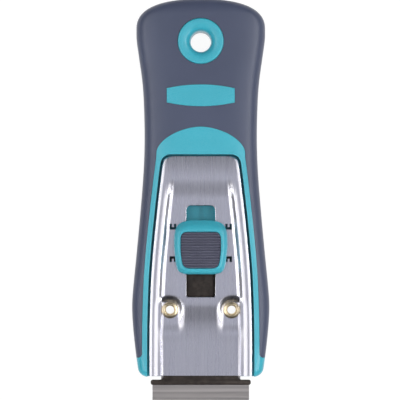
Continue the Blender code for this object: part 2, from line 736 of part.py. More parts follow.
def plate_skin():
    """The open upper skin of the plate, with its end turned down like its sides."""
    rows = []
    for y in plate_rows():
        half = plate_section(y)
        rows.append([(-x, y, z) for x, z in reversed(half[1:])] + [(x, y, z) for x, z in half])
    last = rows[-1]
    for forward, down in ((0.7, 0.3), (1.0, 1.0), (1.0, PLATE_SKIRT / PLATE_BEND)):
        y = Y_PLATE_END - PLATE_BEND * (1 - forward)
        shrink = 1 - PLATE_BEND * forward / plate_half_width(last[0][1])
        rows.append([(x * shrink, y, min(z, Z_RAIL - PLATE_BEND * down)) for x, _, z in last])
    shape = bmesh.new()
    grid = [[shape.verts.new(point) for point in row] for row in rows]
    for row, following in zip(grid, grid[1:]):
        for i in range(len(row) - 1):
            shape.faces.new((row[i], row[i + 1], following[i + 1], following[i]))
    bmesh.ops.remove_doubles(shape, verts=shape.verts, dist=MERGE)
    mesh = bpy.data.meshes.new("face_plate")
    shape.to_mesh(mesh)
    shape.free()
    return add_mesh("face_plate", mesh)


def slot_outline():
    """Round corners at the handle end of the slot, square ones at the blade end."""
    end = Y_SLOT + SLOT_LENGTH
    right = [(SLOT_HALF_WIDTH, Y_SLOT)]
    for i in range(5):
        angle = math.pi / 8 * i
        right.append((SLOT_HALF_WIDTH - SLOT_CORNER * (1 - math.cos(angle)),
                      end - SLOT_CORNER * (1 - math.sin(angle))))
    return right + [(-x, y) for x, y in reversed(right)]


def window_outline(x, y, facing):
    """A lock window: a rectangle with a small tongue standing in it."""
    w, h, t = WINDOW_HALF_WIDTH, WINDOW_HALF_HEIGHT, TONGUE_HALF_WIDTH
    tip = h - TONGUE_LENGTH
    corners = [(-w, -h), (w, -h), (w, h), (t, h), (t, tip), (-t, tip), (-t, h), (-w, h)]
    return [(x + a, y + b * facing) for a, b in corners]


def plate_cutters():
    low = Z_LOW - PLATE_THICKNESS - OVERRUN
    roof = HANDLE_TOP + OVERRUN
    cutters = [prism("slot", slot_outline(), low, roof)]
    for side in (-1, 1):
        for row, y, facing in (("front", Y_LOCK, -1), ("rear", Y_LOCK + STROKE_BACK, 1)):
            name = "window_{}_{}".format(row, "left" if side < 0 else "right")
            cutters.append(prism(name, window_outline(side * WINDOW_SIDE, y, facing), low, roof))
    for side, x in eyelet_places():
        cutters.append(cylinder("plate_hole_" + side, EYELET_HOLE_RADIUS, (x, Y_EYELET),
                                low, roof, 24))
    return cutters


def make_plate():
    plate = plate_skin()
    wall = plate.modifiers.new("wall", "SOLIDIFY")
    wall.thickness = PLATE_THICKNESS
    wall.offset = -1.0
    wall.use_even_offset = True
    cut(plate, *plate_cutters())
    return finish_piece(plate, make_material("plate_steel", STEEL_COLOUR, 0.3, 1.0))


# Eyelets

def make_eyelet(side, x, material):
    """A tube with a rounded flange on the plate and a rolled one behind the washer."""
    bore = EYELET_BORE_RADIUS
    barrel = bore + EYELET_WALL
    rim = EYELET_FLANGE_RADIUS
    soft = EYELET_FLANGE / 3
    top = Z_LOW + FIT + EYELET_FLANGE
    back = Z_SEAT - 2 * FIT - WASHER_THICKNESS
    profile = [
        (bore, top - soft), (bore + soft, top), (rim - soft, top), (rim, top - soft),
        (rim, Z_LOW + FIT), (barrel, Z_LOW + FIT), (barrel, back), (rim, back),
        (rim, back - 2 * soft), (rim - soft, back - 3 * soft), (bore + soft, back - 3 * soft),
        (bore, back - 2 * soft)]
    return finish_piece(turned("eyelet_" + side, profile, (x, Y_EYELET)), material)


def make_washer(side, x, material):
    inner = EYELET_HOLE_RADIUS
    low = Z_SEAT - FIT - WASHER_THICKNESS
    high = Z_SEAT - FIT
    profile = [(inner, high), (WASHER_RADIUS, high), (WASHER_RADIUS, low), (inner, low)]
    return finish_piece(turned("eyelet_washer_" + side, profile, (x, Y_EYELET)), material)


def make_eyelets():
    brass = make_material("brass", BRASS_COLOUR, 0.25, 1.0)
    for side, x in eyelet_places():
        make_eyelet(side, x, brass)
        make_washer(side, x, brass)


# Blade carriage

def carrier_outline():
    front = Y_BAR
    behind = Y_BAR + BAR_LENGTH
    soft = BAR_LENGTH / 4
    neck = behind + FLARE_LENGTH
    wide = BAR_HALF_WIDTH
    right = [
        (wide - soft, front), (wide, front + soft), (wide, behind - soft), (wide - soft, behind),
        (NECK_HALF_WIDTH + 2 * FLARE_LENGTH, behind), (NECK_HALF_WIDTH, neck),
        (NECK_HALF_WIDTH, Y_SHOULDER - FLARE_LENGTH), (NECK_HALF_WIDTH - FLARE_LENGTH, Y_SHOULDER),
        (SHANK_HALF_WIDTH, Y_SHOULDER), (SHANK_HALF_WIDTH, Y_TAIL - FLARE_LENGTH),
        (SHANK_HALF_WIDTH - FLARE_LENGTH, Y_TAIL)]
    return right + [(-x, y) for x, y in reversed(right)]


def make_carrier():
    """A flat carrier whose cross bar wraps round both sides of the blade."""
    carrier = prism("blade_carrier", carrier_outline(), Z_CARRIER, Z_LAND)
    behind = Y_BAR + BAR_LENGTH
    soft = BAR_LENGTH / 4
    wide = BAR_HALF_WIDTH
    lap = CARRIER_THICKNESS / 2
    bar = block("bar_underside", (-wide, Y_BAR + soft, Z_BLADE_TOP + FIT),
                (wide, behind - soft, Z_CARRIER + lap))
    join(carrier, bar)
    floor = Z_BLADE - FIT - HOOK_THICKNESS
    for side in (-1, 1):
        tag = "left" if side < 0 else "right"
        outer = side * wide
        wall = side * (BLADE_HALF_WIDTH + FIT)
        foot = side * (BLADE_HALF_WIDTH - HOOK_FOOT)
        hook = block("hook_" + tag, (min(outer, wall), Y_BAR + soft, floor),
                     (max(outer, wall), behind - soft, Z_CARRIER + lap))
        toe = block("toe_" + tag, (min(outer, foot), Y_BAR + soft, floor),
                    (max(outer, foot), behind - soft, floor + HOOK_THICKNESS))
        join(carrier, hook, toe)
    hole_x = PEG_HALF_WIDTH + FIT
    hole_y = PEG_HALF_LENGTH + FIT
    cut(carrier, block("carrier_hole", (-hole_x, Y_STEM_MIDDLE - hole_y, Z_CARRIER - OVERRUN),
                       (hole_x, Y_STEM_MIDDLE + hole_y, Z_LAND + OVERRUN)))
    steel = make_material("burnished_steel", CARRIER_COLOUR, 0.38, 1.0)
    return finish_piece(carrier, steel)


def make_blade():
    """A flat blade with a ground edge and a notch in each short side."""
    middle = (Z_BLADE + Z_BLADE_TOP) / 2
    back = Y_SPINE_END - SPINE_LIP
    wide = BLADE_HALF_WIDTH
    edge = BLADE_THICKNESS / 10
    section = [(Y_EDGE, middle - edge), (Y_EDGE + BLADE_BEVEL, Z_BLADE), (back, Z_BLADE),
               (back, Z_BLADE_TOP), (Y_EDGE + BLADE_BEVEL, Z_BLADE_TOP), (Y_EDGE, middle + edge)]
    blade = loft("blade", [[(x, y, z) for y, z in section] for x in (-wide, wide)])
    notch_y = Y_EDGE + BLADE_LENGTH / 2
    for side in (-1, 1):
        inner = side * (wide - NOTCH_DEPTH)
        outer = side * (wide + OVERRUN)
        cut(blade, block("notch_left" if side < 0 else "notch_right",
                         (min(inner, outer), notch_y - NOTCH_HALF_LENGTH, Z_BLADE - OVERRUN),
                         (max(inner, outer), notch_y + NOTCH_HALF_LENGTH, Z_CARRIER)))
    return finish_piece(blade, make_material("blade_steel", BLADE_COLOUR, 0.35, 1.0))


def make_spine():
    """The folded strip that stiffens the blade's back."""
    middle = (Z_BLADE + Z_BLADE_TOP) / 2
    half = SPINE_THICKNESS / 2
    groove = BLADE_THICKNESS / 2 + FIT / 2
    front = Y_SPINE_END - SPINE_LENGTH
    floor = Y_SPINE_END - SPINE_LIP + FIT / 2
    soft = SPINE_LIP / 3
    section = [(front, middle - half), (Y_SPINE_END - soft, middle - half),
               (Y_SPINE_END, middle - half + soft), (Y_SPINE_END, middle + half - soft),
               (Y_SPINE_END - soft, middle + half), (front, middle + half),
               (front, middle + groove), (floor, middle + groove),
               (floor, middle - groove), (front, middle - groove)]
    wide = BLADE_HALF_WIDTH
    spine = loft("blade_spine", [[(x, y, z) for y, z in section] for x in (-wide, wide)])
    return finish_piece(spine, make_material("spine_steel", SPRING_COLOUR, 0.4, 1.0))


# Thumb slider

def slider_ring(middle_y, half_width, half_length, height):
    """A rounded outline that narrows a little towards the blade."""
    ring = []
    for i in range(SLIDER_POINTS):
        angle = 2 * math.pi * i / SLIDER_POINTS
        across = abs(math.cos(angle)) ** (2 / SLIDER_POWER) * (1 if math.cos(angle) > 0 else -1)
        along = abs(math.sin(angle)) ** (2 / SLIDER_POWER) * (1 if math.sin(angle) > 0 else -1)
        taper = 1 + SLIDER_TAPER_SHARE * min(0.0, along)
        ring.append((half_width * across * taper, middle_y + half_length * along, height))
    return ring


def stem_outline():
    """The stem's outline: its rear corners are cut to clear the slot's round ones."""
    wide = STEM_HALF_WIDTH
    corner = SLOT_CORNER - 2 * STEM_PLAY
    right = [(wide, Y_STEM), (wide, Y_STEM_END - corner), (wide - corner, Y_STEM_END)]
    return right + [(-x, y) for x, y in reversed(right)]


def spring_places():
    return [("front", Y_STEM_MIDDLE - SPRING_OFFSET), ("rear", Y_STEM_MIDDLE + SPRING_OFFSET)]


def make_slider(material):
    """The button, with its stem through the slot and a peg down into the carrier."""
    wide, long = SLIDER_HALF_WIDTH, SLIDER_HALF_LENGTH
    pad_y = Y_SLIDER - PAD_BEHIND_SLIDER
    z_waist = Z_SLIDER + SLIDER_SKIRT
    z_crest = z_waist + SLIDER_WAIST
    in_1, in_2 = SLIDER_WAIST_INSET, SLIDER_CREST_INSET
    seat_wide, seat_long = PAD_HALF_WIDTH + FIT, PAD_HALF_LENGTH + FIT
    slider = loft("thumb_slider", [
        slider_ring(Y_SLIDER, wide, long, Z_SLIDER),
        slider_ring(Y_SLIDER, wide, long, z_waist),
        slider_ring((Y_SLIDER + pad_y) / 2, wide - in_1, long - in_1, z_crest),
        slider_ring(pad_y, wide - in_2, (long + seat_long) / 2 - FIT, Z_SLIDER_TOP),
        slider_ring(pad_y, seat_wide, seat_long, Z_SLIDER_TOP),
        slider_ring(pad_y, seat_wide, seat_long, Z_PAD_SEAT)])
    lap = SLIDER_SKIRT / 2
    join(slider, prism("stem", stem_outline(), Z_STEM, Z_SLIDER + lap))
    join(slider, block("peg", (-PEG_HALF_WIDTH, Y_STEM_MIDDLE - PEG_HALF_LENGTH, Z_CLIP - FIT),
                       (PEG_HALF_WIDTH, Y_STEM_MIDDLE + PEG_HALF_LENGTH, Z_STEM + lap)))
    for tag, y in spring_places():
        cut(slider, cylinder("spring_bore_" + tag, SPRING_BORE_RADIUS, (0.0, y),
                             Z_STEM - OVERRUN, Z_SLIDER + SPRING_BORE_DEPTH, 20))
    return finish_piece(slider, material)


def make_pad(material):
    """The ribbed inlay of the button: ribs across it, one after another."""
    middle = Y_SLIDER - PAD_BEHIND_SLIDER
    low = Z_PAD_SEAT + FIT
    base = low + PAD_BASE
    pitch = 2 * PAD_HALF_LENGTH / RIB_COUNT
    flank = pitch * (1 - RIB_SHARE) / 4
    start = middle - PAD_HALF_LENGTH
    reach = PAD_HALF_WIDTH + OVERRUN
    section = [(start - OVERRUN, low), (middle + PAD_HALF_LENGTH + OVERRUN, low),
               (middle + PAD_HALF_LENGTH + OVERRUN, base)]
    for i in reversed(range(RIB_COUNT)):
        y = start + pitch * i
        section += [(y + pitch - flank, base), (y + pitch - 2 * flank, base + RIB_HEIGHT),
                    (y + 2 * flank, base + RIB_HEIGHT), (y + flank, base)]
    section.append((start - OVERRUN, base))
    ribs = loft("thumb_pad", [[(x, y, z) for y, z in section] for x in (-reach, reach)])
    outline = [(x, y) for x, y, _ in slider_ring(middle, PAD_HALF_WIDTH, PAD_HALF_LENGTH, 0.0)]
    keep_inside(ribs, prism("pad_outline", outline, low - OVERRUN, base + OVERRUN))
    return finish_piece(ribs, material)


def make_lock_plate(material):
    """The spring-steel plate under the face plate, with a tooth at the end of each arm."""
    lock = block("lock_plate", (-LOCK_HALF_WIDTH, Y_STEM + LOCK_MARGIN, Z_LOCK),
                 (LOCK_HALF_WIDTH, Y_STEM_END - LOCK_MARGIN, Z_LOCK_TOP))
    reach = WINDOW_SIDE + LOCK_ARM_REACH
    arm = LOCK_ARM_HALF_LENGTH
    join(lock, block("lock_arms", (-reach, Y_LOCK - arm, Z_LOCK), (reach, Y_LOCK + arm, Z_LOCK_TOP)))
    for side in (-1, 1):
        inner = side * (WINDOW_SIDE - LOCK_ARM_REACH)
        outer = side * reach
        join(lock, block("tooth_left" if side < 0 else "tooth_right",
                         (min(inner, outer), Y_LOCK - arm / 2, Z_LOCK + LOCK_TOOTH),
                         (max(inner, outer), Y_LOCK + arm / 2, Z_LOCK_TOP + LOCK_TOOTH)))
    hole_x = PEG_HALF_WIDTH + FIT
    hole_y = PEG_HALF_LENGTH + FIT
    cut(lock, block("lock_hole", (-hole_x, Y_STEM_MIDDLE - hole_y, Z_LOCK - OVERRUN),
                    (hole_x, Y_STEM_MIDDLE + hole_y, Z_LOCK_TOP + OVERRUN)))
    for tag, y in spring_places():
        cut(lock, cylinder("lock_spring_hole_" + tag, SPRING_BORE_RADIUS, (0.0, y),
                           Z_LOCK - OVERRUN, Z_LOCK_TOP + OVERRUN, 20))
    return finish_piece(lock, material)


def make_clip(material):
    """The flat clip on the peg, which holds the button to the carrier."""
    wide = PEG_HALF_WIDTH + CLIP_MARGIN
    long = PEG_HALF_LENGTH + CLIP_MARGIN
    clip = block("slider_clip", (-wide, Y_STEM_MIDDLE - long, Z_CLIP),
                 (wide, Y_STEM_MIDDLE + long, Z_CLIP_TOP))
    hole_x = PEG_HALF_WIDTH + FIT
    hole_y = PEG_HALF_LENGTH + FIT
    cut(clip, block("clip_hole", (-hole_x, Y_STEM_MIDDLE - hole_y, Z_CLIP - OVERRUN),
                    (hole_x, Y_STEM_MIDDLE + hole_y, Z_CLIP_TOP + OVERRUN)))
    return finish_piece(clip, material)


def make_spring(tag, y, material):
    """A coil spring, from the carrier up into the button's stem."""
    low = Z_LAND + FIT + SPRING_WIRE_RADIUS
    high = Z_SLIDER + SPRING_BORE_DEPTH - FIT - SPRING_WIRE_RADIUS
    count = SPRING_TURNS * SPRING_TURN_POINTS
    curve = bpy.data.curves.new("return_spring_" + tag, "CURVE")
    curve.dimensions = "3D"
    curve.bevel_depth = SPRING_WIRE_RADIUS
    curve.bevel_resolution = 1
    curve.use_fill_caps = True
    spline = curve.splines.new("POLY")
    spline.points.add(count)
    for i, point in enumerate(spline.points):
        angle = 2 * math.pi * i / SPRING_TURN_POINTS
        height = low + (high - low) * i / count
        point.co = (SPRING_RADIUS * math.cos(angle), y + SPRING_RADIUS * math.sin(angle), height, 1.0)
    wire = add_mesh("return_spring_" + tag, curve)
    bpy.context.view_layer.update()
    return finish_piece(mesh_from(wire, "return_spring_" + tag), material)


# Motion: an empty on each joint's axis carries the pieces that move

def carry(name, place, pieces, parent=None):
    axis = bpy.data.objects.new(name, None)
    PARTS.objects.link(axis)
    axis.location = place
    axis.parent = parent
    bpy.context.view_layer.update()
    if parent:
        axis.matrix_world = Matrix.Translation(place)
        bpy.context.view_layer.update()
    for piece in pieces:
        piece.parent = axis
        piece.matrix_parent_inverse = axis.matrix_world.inverted()
    return axis


def main():
    make_core()
    make_grip()
    make_plate()
    make_eyelets()
    spring_steel = make_material("spring_steel", SPRING_COLOUR, 0.35, 1.0)
    carriage = [make_carrier(), make_blade(), make_spine()]
    carriage += [make_spring(tag, y, spring_steel) for tag, y in spring_places()]
    button = [make_slider(make_material("slider_plastic", CORE_COLOUR, 0.4, 0.0)),
              make_pad(make_material("pad_rubber", GRIP_COLOUR, 0.7, 0.0)),
              make_lock_plate(spring_steel), make_clip(spring_steel)]
    slide = carry("blade_slide_axis", (0.0, Y_STEM_MIDDLE, Z_CARRIER), carriage)
    carry("slider_press_axis", (0.0, Y_STEM_MIDDLE, Z_STEM), button, slide)


clear_scene()
PARTS = new_collection("metal_scraper")
CUTTERS = new_collection("cutters")
main()
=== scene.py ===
"""Looks for the metal scraper: a blade holder with a soft grip and a thumb slider.

Each operator models one piece, or a group of like pieces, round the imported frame.
+X is to the right of the face, +Y points to the hanging hole and +Z out of the face.
"""

import math

import bpy
from bpy.props import FloatProperty, FloatVectorProperty, PointerProperty
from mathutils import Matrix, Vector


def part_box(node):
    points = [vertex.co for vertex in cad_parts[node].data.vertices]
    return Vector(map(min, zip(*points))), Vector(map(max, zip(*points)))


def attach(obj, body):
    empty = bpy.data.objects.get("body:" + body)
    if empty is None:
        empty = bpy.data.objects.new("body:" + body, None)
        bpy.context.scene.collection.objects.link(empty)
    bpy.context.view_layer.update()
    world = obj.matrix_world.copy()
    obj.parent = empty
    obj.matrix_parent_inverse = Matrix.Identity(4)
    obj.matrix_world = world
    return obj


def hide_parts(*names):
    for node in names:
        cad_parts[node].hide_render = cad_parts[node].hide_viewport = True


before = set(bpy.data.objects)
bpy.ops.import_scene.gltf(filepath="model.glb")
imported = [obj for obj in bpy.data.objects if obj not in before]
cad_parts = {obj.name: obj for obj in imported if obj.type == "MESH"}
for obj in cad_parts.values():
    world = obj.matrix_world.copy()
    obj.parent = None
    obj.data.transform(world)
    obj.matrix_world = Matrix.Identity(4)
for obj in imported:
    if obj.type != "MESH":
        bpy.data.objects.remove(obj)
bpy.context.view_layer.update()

bl_info = {
    "name": "Metal scraper",
    "version": (1, 0, 0),
    "blender": (4, 5, 0),
    "location": "3D View > Sidebar > Scraper",
    "description": "Models the looks of a hand scraper round its packed frame",
    "category": "Object",
}

MM = 0.001

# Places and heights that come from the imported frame
CORE_LOW, CORE_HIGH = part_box("handle_core")
GRIP_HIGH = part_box("handle_grip")[1]
PLATE_LOW, PLATE_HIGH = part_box("face_plate")
BLADE_LOW, BLADE_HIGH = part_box("blade")
CARRIER_LOW, CARRIER_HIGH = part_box("blade_carrier")
SLIDER_LOW, SLIDER_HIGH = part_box("thumb_slider")
INLAY_LOW, INLAY_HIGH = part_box("thumb_pad")
EYELET_LOW, EYELET_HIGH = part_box("eyelet_right")
WASHER_LOW, WASHER_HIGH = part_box("eyelet_washer_right")

Y_TIPS, Y_END = CORE_LOW.y, GRIP_HIGH.y
Y_PLATE, Y_PLATE_END = PLATE_LOW.y, PLATE_HIGH.y
Y_BACK = BLADE_HIGH.y
Y_BAR, Y_TAIL = CARRIER_LOW.y, CARRIER_HIGH.y
Y_EYELET = (EYELET_LOW.y + EYELET_HIGH.y) / 2
EYELET_SIDE = (EYELET_LOW.x + EYELET_HIGH.x) / 2
Z_RAIL = PLATE_HIGH.z
Z_LAND = CARRIER_HIGH.z

SMOOTH_ANGLE = math.radians(35)
MERGE = 0.002 * MM
OVERRUN = 2.0 * MM


# Sizes and colours that a user would change

def length(name, description, value):
    return FloatProperty(name=name, description=description, default=value, min=0.0,
                         unit="LENGTH", subtype="DISTANCE", precision=5)


def colour(name, description, value):
    return FloatVectorProperty(name=name, description=description, default=value,
                               size=3, min=0.0, max=1.0, subtype="COLOR")


def share(name, description, value):
    return FloatProperty(name=name, description=description, default=value, min=0.0, max=1.0,
                         subtype="FACTOR")


class ScraperHandle(bpy.types.PropertyGroup):
    half_width: length("Half width", "Half the widest part of the handle",
                       PLATE_HIGH.x + 7.0 * MM)
    crown: length("Crown height", "Height of the handle's face", GRIP_HIGH.z)
    grip_wall: length("Grip wall", "Thickness of the soft grip", 2.2 * MM)
    seam: length("Seam", "Gap between the grip and the core", 0.1 * MM)
    ring_radius: length("Ring radius", "Outer radius of the hanging ring", 9.25 * MM)
    hole_radius: length("Hole radius", "Radius of the hanging hole", 4.1 * MM)
    badge_half_width: length("Badge half width", "Half the width of the bare field", 13.6 * MM)
    badge_half_height: length("Badge half height", "Half its height in the middle", 4.4 * MM)
    arch_rise: length("Arch rise", "From the plate to the top of the arch", 11.9 * MM)
    arm_width: length("Arm width", "Width of the core beside the plate", 2.1 * MM)
    plate_gap: length("Plate gap", "Gap between the plate and the core", 0.8 * MM)


class ScraperPlate(bpy.types.PropertyGroup):
    thickness: length("Sheet thickness", "Thickness of the pressed steel", 0.6 * MM)
    bend: length("Bend radius", "Outer radius of the turned-down edge", 0.35 * MM)
    mid_drop: length("Upper floor drop", "From the rails to the upper floor", 0.8 * MM)
    low_drop: length("Lower floor drop", "From the upper to the lower floor", 1.8 * MM)
    slot_half_width: length("Slot half width", "Half the width of the slider's slot", 5.75 * MM)


class ScraperBlade(bpy.types.PropertyGroup):
    bevel: length("Ground bevel", "Length of the blade's ground edge", 0.8 * MM)
    hone: length("Honed edge", "Length of the steeper edge in front of it", 0.4 * MM)
    bar_length: length("Bar length", "Length of the carrier's cross bar", 2.1 * MM)
    neck_half_width: length("Neck half width", "Half the width behind the bar", 15.0 * MM)


class ScraperSlider(bpy.types.PropertyGroup):
    rib_height: length("Rib height", "Height of the ribs on the inlay", 0.8 * MM)
    inlay_margin: length("Inlay margin", "Gap between the inlay and its frame", 0.1 * MM)


class ScraperFinishes(bpy.types.PropertyGroup):
    core: colour("Core plastic", "Satin moulded plastic", (0.057, 0.455, 0.578))
    grip: colour("Grip rubber", "Fine matt soft grip", (0.070, 0.085, 0.145))
    inlay: colour("Inlay rubber", "Ribbed matt inlay", (0.118, 0.122, 0.176))
    plate: colour("Plate steel", "Steel brushed lengthwise", (0.68, 0.68, 0.75))
    carrier: colour("Carrier steel", "Dark burnished steel", (0.040, 0.032, 0.028))
    blade: colour("Blade steel", "Ground steel", (0.57, 0.535, 0.515))
    spine: colour("Spine steel", "Rolled strip", (0.50, 0.50, 0.51))
    spring: colour("Spring steel", "Drawn and rolled spring steel", (0.45, 0.45, 0.47))
    brass: colour("Brass", "Polished brass", (0.88, 0.75, 0.51))


class ScraperStage(bpy.types.PropertyGroup):
    distance: length("Camera distance", "Height of the camera over the tool", 1.0)
    floor: colour("Floor", "Colour of the floor", (0.80, 0.80, 0.80))
    lift: share("Floor lift", "Share of the floor's white that is its own", 0.88)


GROUPS = {
    "scraper_handle": ScraperHandle, "scraper_plate": ScraperPlate,
    "scraper_blade": ScraperBlade, "scraper_slider": ScraperSlider,
    "scraper_finishes": ScraperFinishes, "scraper_stage": ScraperStage,
}


# Work at the bench: selection, modifiers and edits

def rest():
    """Leaves edit mode and selects nothing."""
    if bpy.context.mode != "OBJECT":
        bpy.ops.object.mode_set(mode="OBJECT")
    bpy.ops.object.select_all(action="DESELECT")


def pick(piece):
    rest()
    piece.select_set(True)
    bpy.context.view_layer.objects.active = piece


def edit(piece, kind="VERT", action="SELECT"):
    pick(piece)
    bpy.ops.object.mode_set(mode="EDIT")
    bpy.ops.mesh.select_mode(type=kind)
    bpy.ops.mesh.select_all(action=action)


def edit_chosen(piece, kind, chosen):
    """Enters edit mode with only the chosen edges or faces selected."""
    edit(piece, kind, "DESELECT")
    bpy.ops.object.mode_set(mode="OBJECT")
    items = piece.data.edges if kind == "EDGE" else piece.data.polygons
    for item in items:
        item.select = chosen([piece.data.vertices[i].co for i in item.vertices])
    bpy.ops.object.mode_set(mode="EDIT")


def apply_step(piece, kind, **settings):
    pick(piece)
    bpy.ops.object.modifier_add(type=kind)
    step = piece.modifiers[-1]
    for key, value in settings.items():
        setattr(step, key, value)
    bpy.ops.object.modifier_apply(modifier=step.name)


def combine(piece, other, operation):
    apply_step(piece, "BOOLEAN", operation=operation, solver="EXACT", object=other)
    bpy.data.objects.remove(other)
    if not piece.data.polygons:
        raise RuntimeError("nothing is left of " + piece.name)


def cut(piece, *others):
    for other in others:
        combine(piece, other, "DIFFERENCE")


def join(piece, *others):
    for other in others:
        combine(piece, other, "UNION")


def close_up(piece):
    """Merges doubles, fills open ends and turns the faces outwards."""
    edit(piece)
    bpy.ops.mesh.remove_doubles(threshold=MERGE)
    bpy.ops.mesh.select_all(action="SELECT")
    bpy.ops.mesh.fill_holes(sides=0)
    bpy.ops.mesh.select_all(action="SELECT")
    bpy.ops.mesh.normals_make_consistent(inside=False)
    rest()


def round_edges(piece, chosen, width, segments=2):
    edit_chosen(piece, "EDGE", chosen)
    bpy.ops.mesh.bevel(offset=width, offset_type="OFFSET", segments=segments, affect="EDGES")
    rest()


def dress(piece, body, nodes, material):
    """Smooths a finished piece and lets it stand for its CAD nodes."""
    pick(piece)
    bpy.ops.object.shade_smooth_by_angle(angle=SMOOTH_ANGLE)
    piece.data.materials.clear()
    piece.data.materials.append(material)
    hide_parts(*nodes)
    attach(piece, body)
    rest()


# Starting shapes

def flat_shape(name, outline, height):
    """A flat face with the given outline."""
    rest()
    bpy.ops.mesh.primitive_circle_add(vertices=len(outline), radius=MM, fill_type="NGON")
    piece = bpy.context.object
    piece.name = name
    for vertex, (x, y) in zip(piece.data.vertices, outline):
        vertex.co = (x, y, height)
    return piece


def prism(name, outline, low, high):
    """An outline drawn at one height and extruded to another."""
    piece = flat_shape(name, outline, low)
    edit(piece, "FACE")
    bpy.ops.mesh.extrude_region_move(TRANSFORM_OT_translate={"value": (0.0, 0.0, high - low)})
    close_up(piece)
    return piece


def block(name, low, high):
    outline = [(low[0], low[1]), (high[0], low[1]), (high[0], high[1]), (low[0], high[1])]
    return prism(name, outline, low[2], high[2])


def round_outline(radius, centre, steps):
    turns = [math.tau * i / steps for i in range(steps)]
    return [(centre[0] + radius * math.cos(t), centre[1] + radius * math.sin(t)) for t in turns]


def turned(name, profile, centre, steps=64):
    """A closed profile of radius and height pairs, spun about an upright axis."""
    rest()
    bpy.ops.mesh.primitive_circle_add(vertices=len(profile), radius=MM, fill_type="NOTHING")
    piece = bpy.context.object
    piece.name = name
    for vertex, (radius, height) in zip(piece.data.vertices, profile):
        vertex.co = (centre[0] + radius, centre[1], height)
    edit(piece)
    bpy.ops.mesh.spin(steps=steps, angle=math.tau, center=(centre[0], centre[1], 0.0),
                      axis=(0.0, 0.0, 1.0))
    close_up(piece)
    return piece


def shaped_grid(name, across, along, place):
    """A grid whose every column and row is set to its place on the piece."""
    rest()
    bpy.ops.mesh.primitive_grid_add(x_subdivisions=across, y_subdivisions=along, size=1.0)
    piece = bpy.context.object
    piece.name = name
    for vertex in piece.data.vertices:
        column = round((vertex.co.x + 0.5) * across)
        row = round((vertex.co.y + 0.5) * along)
        vertex.co = place(column, row)
    return piece


def side_block(name, side, near, far, front, back, low, high):
    """A block on one side of the middle, between two distances from it."""
    left, right = sorted((side * near, side * far))
    return block(name, (left, front, low), (right, back, high))


def rows_of_points(name, rows):
    """A grid that runs through rows of points."""
    return shaped_grid(name, len(rows[0]) - 1, len(rows) - 1,
                       lambda column, row: rows[row][column])


# Curves that several pieces follow

def spread(low, high, count):
    """Even places from low up to, but without, high."""
    return [low + (high - low) * i / count for i in range(count)]


def quarter_turn(steps):
    """The sine and cosine of even angles from nothing to a right angle."""
    angles = [math.pi / 2 * i / steps for i in range(steps + 1)]
    return [(math.sin(angle), math.cos(angle)) for angle in angles]


def ease(low, high, value):
    part = min(1.0, max(0.0, (value - low) / (high - low)))
    return part * part * (3 - 2 * part)


def read_table(table, place):
    """A smooth curve through a table of pairs."""
    place = min(table[-1][0], max(table[0][0], place))
    index = max(i for i in range(len(table) - 1) if table[i][0] <= place)
    (x0, y0), (x1, y1) = table[index], table[index + 1]
    before = table[max(index - 1, 0)]
    after = table[min(index + 2, len(table) - 1)]
    slope0 = (y1 - before[1]) / (x1 - before[0])
    slope1 = (after[1] - y0) / (after[0] - x0)
    span = x1 - x0
    t = (place - x0) / span
    rise = y0 * (1 + 2 * t) * (1 - t) ** 2 + y1 * t * t * (3 - 2 * t)
    return rise + span * (slope0 * t * (1 - t) ** 2 - slope1 * t * t * (1 - t))


def quarter_drop(part):
    return 1 - math.sqrt(max(0.0, 1 - part * part))


def middle_and_half(low, high):
    """The middle and the half length along the tool between two corners."""
    return (high.y + low.y) / 2, (high.y - low.y) / 2


def mirrored(right, shared_end=False):
    """An outline from its right half, drawn from the front to the back."""
    left = [(-x, y) for x, y in reversed(right)]
    return right + (left[1:] if shared_end else left)


# Handle

HANDLE_OUTLINE = [
    (0.0, 0.895), (0.044, 0.931), (0.097, 0.967), (0.150, 0.993), (0.189, 1.0),
    (0.230, 0.987), (0.335, 0.931), (0.442, 0.877), (0.548, 0.833), (0.634, 0.819),
    (0.733, 0.832), (0.787, 0.855), (0.840, 0.895), (0.893, 0.935), (0.919, 0.938),
    (1.0, 0.938),
]
HEAD_CAP = 12.2 * MM
HEAD_CAP_END = 0.1 * MM
HEAD_POWER = 2.5
TIP_CORNER = 3.3 * MM
END_ROUND = 6.0 * MM
END_DROP = 3.6 * MM
TIP_DROP = 1.6 * MM
BELLY_LENGTH = 51.0 * MM
BELLY_LIFT = 5.0 * MM
BELLY_EASE = 0.15
EDGE_REACH = 5.0 * MM
PARTING = 0.42
CROWN_POWER = 4.0
SKIN_QUARTERS = (10, 12, 26)
SKIN_ROWS = (10, 120, 40)
RING_FROM_END = 17.0 * MM
Y_RING = Y_END - RING_FROM_END
GRIP_START = 7.8 * MM
GRIP_CORNER = 1.6 * MM
BADGE_BOW = 1.5 * MM
ARCH_FOOT = 1.6 * MM
ARCH_POWER = 1.75
PLATE_CORNER = 2.6 * MM
PANEL_LENGTH = 40.0 * MM
PANEL_ROUND = 18.0 * MM
PANEL_INSET = 7.0 * MM
LEDGE_DROP = 2.3 * MM
GROOVE_DROP = 6.0 * MM
GROOVE_INSET = 1.3 * MM
LAND_INSET = 1.7 * MM
WELL_SIDE = 20.4 * MM
WELL_LENGTH = 23.3 * MM
CHANNEL_SIDE = 8.3 * MM
CHANNEL_DROP = 2.9 * MM
CHANNEL_PAST_TAIL = 13.4 * MM
WELL_DEPTH = 5.0 * MM
EYELET_BORE = 2.5 * MM
WASHER_SEAT = 4.0 * MM
WASHER_SLACK = 0.3 * MM
WELL_REACH = 1.6 * MM
RING_BORE = 6.0 * MM
RING_FUNNEL = [(0.0, 1.0), (0.25, 0.4), (0.9, 0.0)]
